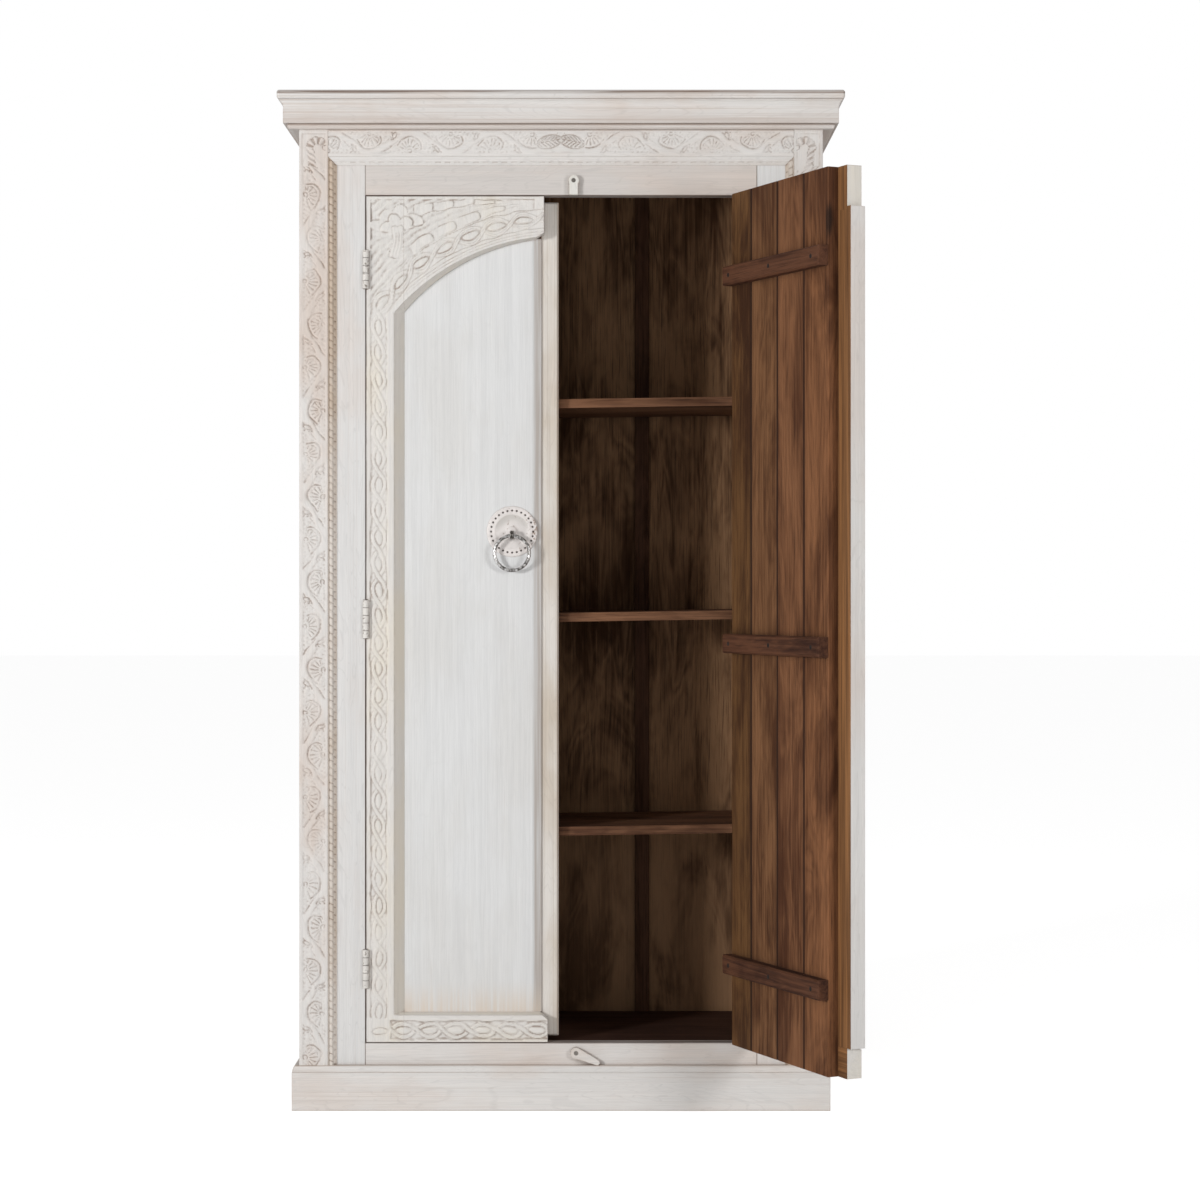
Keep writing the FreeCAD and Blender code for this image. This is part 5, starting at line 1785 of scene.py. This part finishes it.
@dataclass
class RingPull:
    """A dished and pierced plate with the two-legged staple that its ring hangs in."""

    effects: Effects
    side: Side
    from_middle: float = 88.7
    level: float = 1040.5
    radius: float = 46.0
    holes: int = 28
    hole_circle: float = 38.0
    hole_radius: float = 1.55
    eye_reach: float = 13.0
    eye_drop: float = 6.4
    wire: float = 1.55
    wire_gap: float = 1.75
    wire_sides: int = 12
    plate_foot: float = 2.5
    turns: int = 224

    def build(self) -> None:
        """Build the plate and the staple as two pieces that both stand for the ring plate."""
        door = self.side.name.lower()
        centre = Vector((self.side.value * self.from_middle, LAYOUT.panel_front, self.level)) * MM
        plate = self.plate(centre)
        staple = self.staple(centre)
        middle = centre
        if self.side is Side.RIGHT:
            turn = open_turn()
            plate.transform(turn)
            staple.transform(turn)
            middle = turn @ centre
        paint = PaintedMetal(
            f"{door} plate paint", paint=(0.76, 0.715, 0.69), centre=tuple(middle), rim_wear=0.45,
            patch_low=0.60, dish_shade=0.5,
        ).material(self.effects)
        iron = ForgedIron(
            f"{door} staple iron", bright=(0.20, 0.185, 0.17), dark=(0.045, 0.04, 0.036),
        ).material(self.effects)
        finish_piece(f"{door}_pull_plate", plate, paint, f"{door}_door", (f"{door}_ring_plate",))
        finish_piece(f"{door}_pull_staple", staple, iron, f"{door}_door", (f"{door}_ring_plate",))

    def plate(self, centre: Vector) -> bpy.types.Mesh:
        """Spin the plate's section, then sink its pierced holes.

        Args:
            centre: Middle of the plate's back.

        Returns:
            The plate's mesh.
        """
        section = [
            (0.4, 5.2), (3.0, 5.1), (6.0, 4.6), (8.4, 3.4), (9.4, 1.6), (10.4, 0.9), (14.0, 0.7),
            (20.0, 0.9), (25.0, 1.2), (28.5, 1.7), (30.2, 2.4), (31.4, 3.0), (32.6, 3.1), (34.0, 2.8),
        ]
        section += [(34.0 + 0.8 * step, 2.7) for step in range(1, 12)]
        section += [(43.6, 2.6), (44.8, 2.2), (45.6, 1.5), (self.radius, 0.6), (self.radius, 0.0)]
        mesh = bmesh.new()
        points = [mesh.verts.new((radius * MM, -out * MM, 0.0)) for radius, out in section]
        edges = [mesh.edges.new(pair) for pair in zip(points, points[1:])]
        bmesh.ops.spin(
            mesh, geom=points + edges, cent=(0.0, 0.0, 0.0), axis=(0.0, 1.0, 0.0), dvec=(0.0, 0.0, 0.0),
            angle=math.tau, steps=self.turns, use_merge=True,
        )
        bmesh.ops.remove_doubles(mesh, verts=mesh.verts, dist=1e-6)
        loops = [edge for edge in mesh.edges if edge.is_boundary]
        bmesh.ops.holes_fill(mesh, edges=loops)
        bmesh.ops.recalc_face_normals(mesh, faces=mesh.faces)
        data = bpy.data.meshes.new("plate")
        mesh.to_mesh(data)
        mesh.free()
        places = np.empty(len(data.vertices) * 3)
        data.vertices.foreach_get("co", places)
        places = places.reshape(-1, 3) / MM
        radius = np.hypot(places[:, 0], places[:, 2])
        turn = np.arctan2(places[:, 2], places[:, 0]) / math.tau * self.holes
        beside = (turn - np.rint(turn)) / self.holes * math.tau * self.hole_circle
        away = np.hypot(radius - self.hole_circle, beside)
        hole = ease((self.hole_radius + 0.5 - away) / 0.7) * (places[:, 1] < -0.2)
        places[:, 1] += 1.6 * hole
        dents = 0.35 * np.sin(places[:, 0] * 0.31) * np.cos(places[:, 2] * 0.23)
        places[:, 1] += dents * (radius > 33.0) * (places[:, 1] < -1.0)
        data.vertices.foreach_set("co", (places * MM + np.array(centre)).ravel())
        layer = data.attributes.new("hollow", "FLOAT", "POINT")
        layer.data.foreach_set("value", hole.astype(np.float32))
        return data

    def staple(self, centre: Vector) -> bpy.types.Mesh:
        """Two bent wires side by side: each leaves the plate and loops down round the ring.

        Args:
            centre: Middle of the plate's back.

        Returns:
            The staple's mesh.
        """
        mesh = bmesh.new()
        out = -(self.plate_foot + self.eye_reach) * MM
        wire = self.wire * MM
        level = Matrix.Rotation(math.pi / 2, 3, "X")
        for shift in (-self.wire_gap * MM, self.wire_gap * MM):
            circle = bmesh.ops.create_circle(mesh, cap_ends=False, radius=wire, segments=self.wire_sides)
            bmesh.ops.rotate(mesh, verts=circle["verts"], cent=(0.0, 0.0, 0.0), matrix=level)
            bmesh.ops.translate(mesh, verts=circle["verts"], vec=(shift, out, 0.0))
            edges = list({edge for vert in circle["verts"] for edge in vert.link_edges})
            bmesh.ops.spin(
                mesh, geom=circle["verts"] + edges, cent=(shift, out, -self.eye_drop * MM),
                axis=(1.0, 0.0, 0.0), dvec=(0.0, 0.0, 0.0), angle=math.tau, steps=40, use_merge=True,
            )
            leg = bmesh.ops.create_cone(
                mesh, cap_ends=True, segments=self.wire_sides, radius1=wire, radius2=wire,
                depth=abs(out) - 1.0 * MM,
            )
            bmesh.ops.rotate(mesh, verts=leg["verts"], cent=(0.0, 0.0, 0.0), matrix=level)
            bmesh.ops.translate(mesh, verts=leg["verts"], vec=(shift, (out - 1.0 * MM) / 2, 0.0))
        bmesh.ops.remove_doubles(mesh, verts=mesh.verts, dist=1e-7)
        bmesh.ops.recalc_face_normals(mesh, faces=mesh.faces)
        bmesh.ops.translate(mesh, verts=mesh.verts, vec=centre)
        data = bpy.data.meshes.new("staple")
        mesh.to_mesh(data)
        mesh.free()
        return data


@dataclass
class Joinery:
    """The plain boards, the metalwork and the inside, which keep their solids."""

    effects: Effects
    side_inside: float = -0.4698
    back_joint: float = 0.1508
    joint_reach: float = 0.0022
    plank_tones: tuple[tuple[Colour, Colour], ...] = (
        ((0.046, 0.017, 0.006), (0.150, 0.070, 0.025)),
        ((0.070, 0.026, 0.010), (0.215, 0.100, 0.044)),
        ((0.072, 0.025, 0.010), (0.225, 0.098, 0.044)),
        ((0.074, 0.026, 0.010), (0.250, 0.106, 0.045)),
    )
    stains: tuple[tuple[Colour, Colour], ...] = (
        ((0.4536, -0.5232, 1.5553), (0.012, 0.012, 0.036)),
        ((0.4163, -0.4432, 1.0446), (0.010, 0.010, 0.014)),
    )

    def build(self) -> None:
        """Dress every plain solid."""
        self.mouldings()
        self.face_frame()
        self.buttons()
        self.inside()
        for side in Side:
            self.door(side)
        self.closing_strips()
        self.metal()

    def dress(self, finish: Finish, *nodes: str) -> None:
        """Give a finish to solids that stay as they are.

        Args:
            finish: The finish.
            *nodes: The solids.
        """
        material = finish.material(self.effects)
        for node in nodes:
            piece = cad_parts[node]
            piece.data.materials.clear()
            piece.data.materials.append(material)
            LOG.info("%s: %s", node, finish.name)

    def reach_along(self, node: str, direction: Colour) -> tuple[float, float]:
        """Find where a plank's long edges lie.

        Args:
            node: The plank.
            direction: The direction across the planks.

        Returns:
            The places of both edges along it, in metres.
        """
        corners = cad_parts[node].data.vertices
        places = np.empty(len(corners) * 3)
        corners.foreach_get("co", places)
        along = places.reshape(-1, 3) @ np.array(direction)
        return float(along.min()), float(along.max())

    def mouldings(self) -> None:
        """Plinth, cornice and top."""
        ledge = Band(2, 0.0785, 0.0805, (0.36, 0.27, 0.21), 0.75)
        # A darker brown strip at both ends of the plinth front.
        end_brown = (0.30, 0.24, 0.20)
        ends = (Band(0, side.value * 0.5055, side.value * 0.5078, end_brown, 0.7) for side in Side)
        low = (Band(2, 1.800, 1.772, (0.50, 0.42, 0.37), 0.55),)
        worn = (Band(2, 1.8200, 1.8245, (0.17, 0.11, 0.08), 1.0, faded=1.8289),)
        front = Limewash("plinth limewash across", Grain.ACROSS, 0.4, stripes=0.30, bands=(ledge, *ends))
        self.dress(front, "plinth_front")
        end = Limewash("plinth limewash deep", Grain.DEEP, 0.9, stripes=0.30)
        self.dress(end, "plinth_left", "plinth_right")
        front = Limewash("cornice limewash across", Grain.ACROSS, 1.4, thin=0.8, stripes=0.55, bands=low)
        self.dress(front, "cornice_front")
        end = Limewash("cornice limewash deep", Grain.DEEP, 1.9, thin=0.8, stripes=0.55, bands=low)
        self.dress(end, "cornice_left", "cornice_right")
        top = Limewash(
            "top board limewash", Grain.ACROSS, 1.7, edge_wear=1.0, thin=0.8, stripes=0.5, bands=worn,
        )
        self.dress(top, "top_board")

    def face_frame(self) -> None:
        """Stiles and rails round the doorway, with painted shade in the gaps where the doors close, and the
        sides behind them.
        """
        gap_shade_and_joint_dark = (0.12, 0.075, 0.055)
        for side, seed in ((Side.LEFT, 11.2), (Side.RIGHT, 12.6)):
            label = side.name.lower()
            # Painted shade: a dark strip on each frame stile along the gap beside the door.
            gap = Band(0, side.value * 0.3537, side.value * 0.3524, gap_shade_and_joint_dark, 0.85)
            stile = Limewash(
                f"frame stile {label} limewash", Grain.UPRIGHT, seed, bare=FACE_BACK, thin=0.45,
                stripes=0.15, paint=(0.675, 0.672, 0.665), bands=(gap,),
            )
            self.dress(stile, f"frame_stile_{label}")
            panel = Limewash(
                f"side {label} limewash", Grain.UPRIGHT, seed + 3.0, thin=0.6,
                bare=(-side.value, 0.0, 0.0, self.side_inside),
            )
            self.dress(panel, f"side_{label}")
        # Painted shade of the gaps over and under the doors, on the rails' edges.
        over = Band(2, 1.6467, 1.6454, gap_shade_and_joint_dark, 0.8)
        under = Band(2, 0.1183, 0.1196, gap_shade_and_joint_dark, 0.8)
        for label, seed, paint, gap in (
            ("top", 21.0, (0.60, 0.57, 0.545), over),
            ("bottom", 22.0, (0.69, 0.67, 0.65), under),
        ):
            rail = Limewash(
                f"frame rail {label} limewash", Grain.ACROSS, seed, bare=FACE_BACK, thin=0.7, paint=paint,
                stripes=0.2, bands=(gap,),
            )
            self.dress(rail, f"frame_rail_{label}")

    def buttons(self) -> None:
        """The two turn buttons, the lower one more worn."""
        upper = Limewash(
            "button limewash", Grain.UPRIGHT, 31.0, thin=0.5, edge_wear=0.9, paint=(0.76, 0.75, 0.72),
            warm=(0.62, 0.57, 0.49),
        )
        self.dress(upper, "turn_button_top")
        lower = Limewash(
            "lower button limewash", Grain.ACROSS, 32.0, thin=1.0, edge_wear=0.9, warm=(0.60, 0.50, 0.42),
        )
        self.dress(lower, "turn_button_bottom")

    def inside(self) -> None:
        """Back, muntins, shelves, floor and bearer."""
        gap_shade_and_joint_dark = (0.02, 0.012, 0.008)
        joints = (
            Band(0, x - self.joint_reach, x, gap_shade_and_joint_dark, 0.9, least=0.7, faded=x + self.joint_reach)
            for x in (-self.back_joint, self.back_joint)
        )
        # Painted light: the back boards turn paler towards their foot, as if lit from below.
        painted_light_foot = Band(2, 0.62, 0.28, (0.36, 0.205, 0.110), 0.75)
        outer_face = Band(1, 0.1775, 0.1810, (0.165, 0.092, 0.050), 0.85, least=0.8)
        back = BareWood(
            "back board wood", Grain.UPRIGHT, 41.0, dark=(0.070, 0.029, 0.012), light=(0.375, 0.210, 0.108),
            corner_dirt=0.6, stain_share=0.70, bands=(painted_light_foot, outer_face, *joints),
        )
        self.dress(back, "back_panels")
        muntin = BareWood(
            "muntin wood", Grain.UPRIGHT, 42.0, dark=(0.040, 0.016, 0.008), light=(0.12, 0.055, 0.030),
        )
        self.dress(muntin, "back_muntins")
        for number, node in enumerate(("shelf_lower", "shelf_middle", "shelf_upper")):
            shelf = BareWood(
                f"shelf wood {number + 1}", Grain.ACROSS, 51.0 + 2.3 * number,
                dark=(0.075, 0.030, 0.014), light=(0.22, 0.105, 0.055),
            )
            self.dress(shelf, node)
        floor = BareWood(
            "floor board wood", Grain.ACROSS, 58.0, dark=(0.035, 0.014, 0.009), light=(0.08, 0.036, 0.022),
        )
        self.dress(floor, "floor_board", "floor_bearer")

    def door(self, side: Side) -> None:
        """Panel and battens of one door.

        Args:
            side: The door's side.
        """
        label = side.name.lower()
        opened = side is Side.RIGHT
        # Painted shade and grime: a greyish brown strip on the left panel beside the lip.
        edge = (Band(0, -0.0505, -0.0470),) if side is Side.LEFT else ()
        foot = Band(2, 0.235, 0.172, (0.64, 0.55, 0.46), 0.75)
        panel = Limewash(
            f"{label} panel limewash", Grain.UPRIGHT, 61.0 + side.value, paint=(0.695, 0.698, 0.697),
            warm=(0.640, 0.630, 0.612), thin=0.55, edge_wear=0.3, rings=0.03, bands=(*edge, foot),
        )
        self.dress(panel, f"{label}_door_panel")
        self.planks(side)
        batten = BareWood(
            f"{label} batten wood", Grain.ACROSS_OPEN if opened else Grain.ACROSS, 90.0 + side.value,
            dark=(0.032, 0.011, 0.006), light=(0.115, 0.046, 0.023), edge_wear=0.6,
        )
        self.dress(batten, f"{label}_door_battens")

    def planks(self, side: Side) -> None:
        """The planks of one door's back, each with dark joints beside its neighbours.

        Args:
            side: The door's side.
        """
        label = side.name.lower()
        opened = side is Side.RIGHT
        width = (-OPEN_COSINE, -OPEN_SINE, 0.0) if opened else (1.0, 0.0, 0.0)
        nodes = [f"{label}_door_plank_{number + 1}" for number in range(len(self.plank_tones))]
        places = [self.reach_along(node, width) for node in nodes]
        first = min(low for low, _ in places)
        last = max(high for _, high in places)
        for number, (low, high) in enumerate(places):
            dark, light = self.plank_tones[number]
            joints = (width, low - 0.1 * (low == first), high + 0.1 * (high == last))
            plank = BareWood(
                f"{label} plank {number + 1} wood", Grain.UPRIGHT,
                73.7 + 3.7 * number + 11.0 * side.value, dark=dark, light=light, corner_dirt=0.9,
                joints=joints, stain_share=0.64, spots=self.stains if opened and number == 3 else (),
            )
            self.dress(plank, nodes[number])

    def closing_strips(self) -> None:
        """The left door's lip and the right door's cover strip."""
        brown = Band(0, -0.0105, -0.0055, (0.42, 0.32, 0.24), 0.7)
        lip = Limewash(
            "lip limewash", Grain.UPRIGHT, 95.0, thin=0.9, paint=(0.735, 0.705, 0.665),
            warm=(0.58, 0.51, 0.43), stripes=0.35, bands=(brown,),
        )
        self.dress(lip, "left_door_lip")
        strip = Limewash("cover strip limewash", Grain.UPRIGHT, 97.0, bare=OPEN_FACE_BACK)
        self.dress(strip, "right_door_cover_strip")

    def metal(self) -> None:
        """Hinges, screws and rings."""
        hinge = PaintedMetal(
            "hinge paint", paint=(0.71, 0.68, 0.64), under=(0.12, 0.085, 0.06), patch_low=0.54,
        )
        leaves = ("hinge_frame_leaves", "left_door_hinge_leaves", "right_door_hinge_leaves")
        self.dress(hinge, *leaves, "hinge_pins")
        screw = ForgedIron(
            "screw steel", bright=(0.014, 0.009, 0.007), dark=(0.006, 0.004, 0.003), roughness=0.9,
            metallic=0.0,
        )
        self.dress(screw, "hinge_frame_screws", "left_door_screws", "right_door_screws")
        dull = ForgedIron(
            "button screw steel", bright=(0.22, 0.20, 0.18), dark=(0.08, 0.07, 0.06), roughness=0.6,
            metallic=0.2,
        )
        self.dress(dull, "turn_button_screws")
        ring = ForgedIron("ring iron", bright=(0.78, 0.77, 0.76), dark=(0.13, 0.12, 0.11))
        self.dress(ring, "left_ring", "right_ring")


@dataclass
class Studio:
    """A plain pale floor, soft lights and the camera of the photograph."""

    camera_place: tuple[float, float, float] = (0.070, -4.870, 0.944)
    focal_length: float = 78.12
    sensor: float = 36.0
    rise: float = -0.0125
    floor_size: float = 60.0
    floor_drop: float = 0.0005
    sky: float = 0.38
    floor_glow: float = 0.62
    aim: tuple[float, float, float] = (0.0, -0.2, 0.9)

    def build(self) -> None:
        """Set up everything that isn't part of the cabinet."""
        self.camera()
        self.floor()
        self.world()
        self.light("key", (-3.4, -3.7, 1.40), 0.55, 122.0)
        self.light("fill", (3.2, -3.8, 1.5), 0.8, 60.0)
        bpy.context.scene.view_settings.view_transform = "Standard"

    def camera(self) -> None:
        """A level camera in front of the cabinet, a little right of its middle."""
        data = bpy.data.cameras.new("camera")
        data.lens = self.focal_length
        data.sensor_width = self.sensor
        data.shift_y = self.rise
        data.clip_end = 100.0
        camera = bpy.data.objects.new("camera", data)
        camera.location = self.camera_place
        camera.rotation_euler = (math.pi / 2, 0.0, 0.0)
        bpy.context.scene.collection.objects.link(camera)
        bpy.context.scene.camera = camera

    def floor(self) -> None:
        """A wide pale floor at the cabinet's foot."""
        mesh = bmesh.new()
        bmesh.ops.create_grid(mesh, x_segments=2, y_segments=2, size=self.floor_size / 2)
        data = bpy.data.meshes.new("floor")
        mesh.to_mesh(data)
        mesh.free()
        material, tree, shader = new_material("studio floor")
        seen = tree.add("ShaderNodeLightPath").outputs["Is Camera Ray"]
        shader.inputs["Base Color"].default_value = (0.93, 0.93, 0.93, 1.0)
        shader.inputs["Roughness"].default_value = 0.9
        shader.inputs["Specular IOR Level"].default_value = 0.1
        shader.inputs["Emission Color"].default_value = (1.0, 1.0, 1.0, 1.0)
        tree.put(shader.inputs["Emission Strength"], tree.math("MULTIPLY", seen, self.floor_glow))
        data.materials.append(material)
        floor = bpy.data.objects.new("studio_floor", data)
        floor.location.z = -self.floor_drop
        bpy.context.scene.collection.objects.link(floor)

    def world(self) -> None:
        """A white surround that looks brighter than it lights."""
        world = bpy.data.worlds.new("studio")
        world.use_nodes = True
        bpy.context.scene.world = world
        tree = Tree(world.node_tree)
        back = world.node_tree.nodes["Background"]
        back.inputs["Color"].default_value = (1.0, 1.0, 1.0, 1.0)
        seen = tree.add("ShaderNodeLightPath").outputs["Is Camera Ray"]
        tree.put(back.inputs["Strength"], tree.span(seen, 0.0, 1.0, self.sky, 1.0))

    def light(self, name: str, place: tuple[float, float, float], size: float, power: float) -> None:
        """A square soft light aimed at the cabinet's middle.

        Args:
            name: The light's name.
            place: Where it stands, in metres.
            size: Its side.
            power: Its power in watts.
        """
        data = bpy.data.lights.new(name, "AREA")
        data.size = size
        data.energy = power
        lamp = bpy.data.objects.new(name, data)
        lamp.location = place
        aim = Vector(self.aim) - Vector(place)
        lamp.rotation_euler = aim.to_track_quat("-Z", "Y").to_euler()
        bpy.context.scene.collection.objects.link(lamp)


def main() -> None:
    """Build the studio, then each sub-assembly."""
    logging.basicConfig(level=logging.INFO, format="%(name)s %(message)s")
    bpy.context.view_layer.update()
    Studio().build()
    effects = Effects()
    Joinery(effects).build()
    CarvedBorder(effects).build()
    for side in Side:
        DoorFace(effects, side).build()
        RingPull(effects, side).build()


if __name__ == "__main__":
    main()
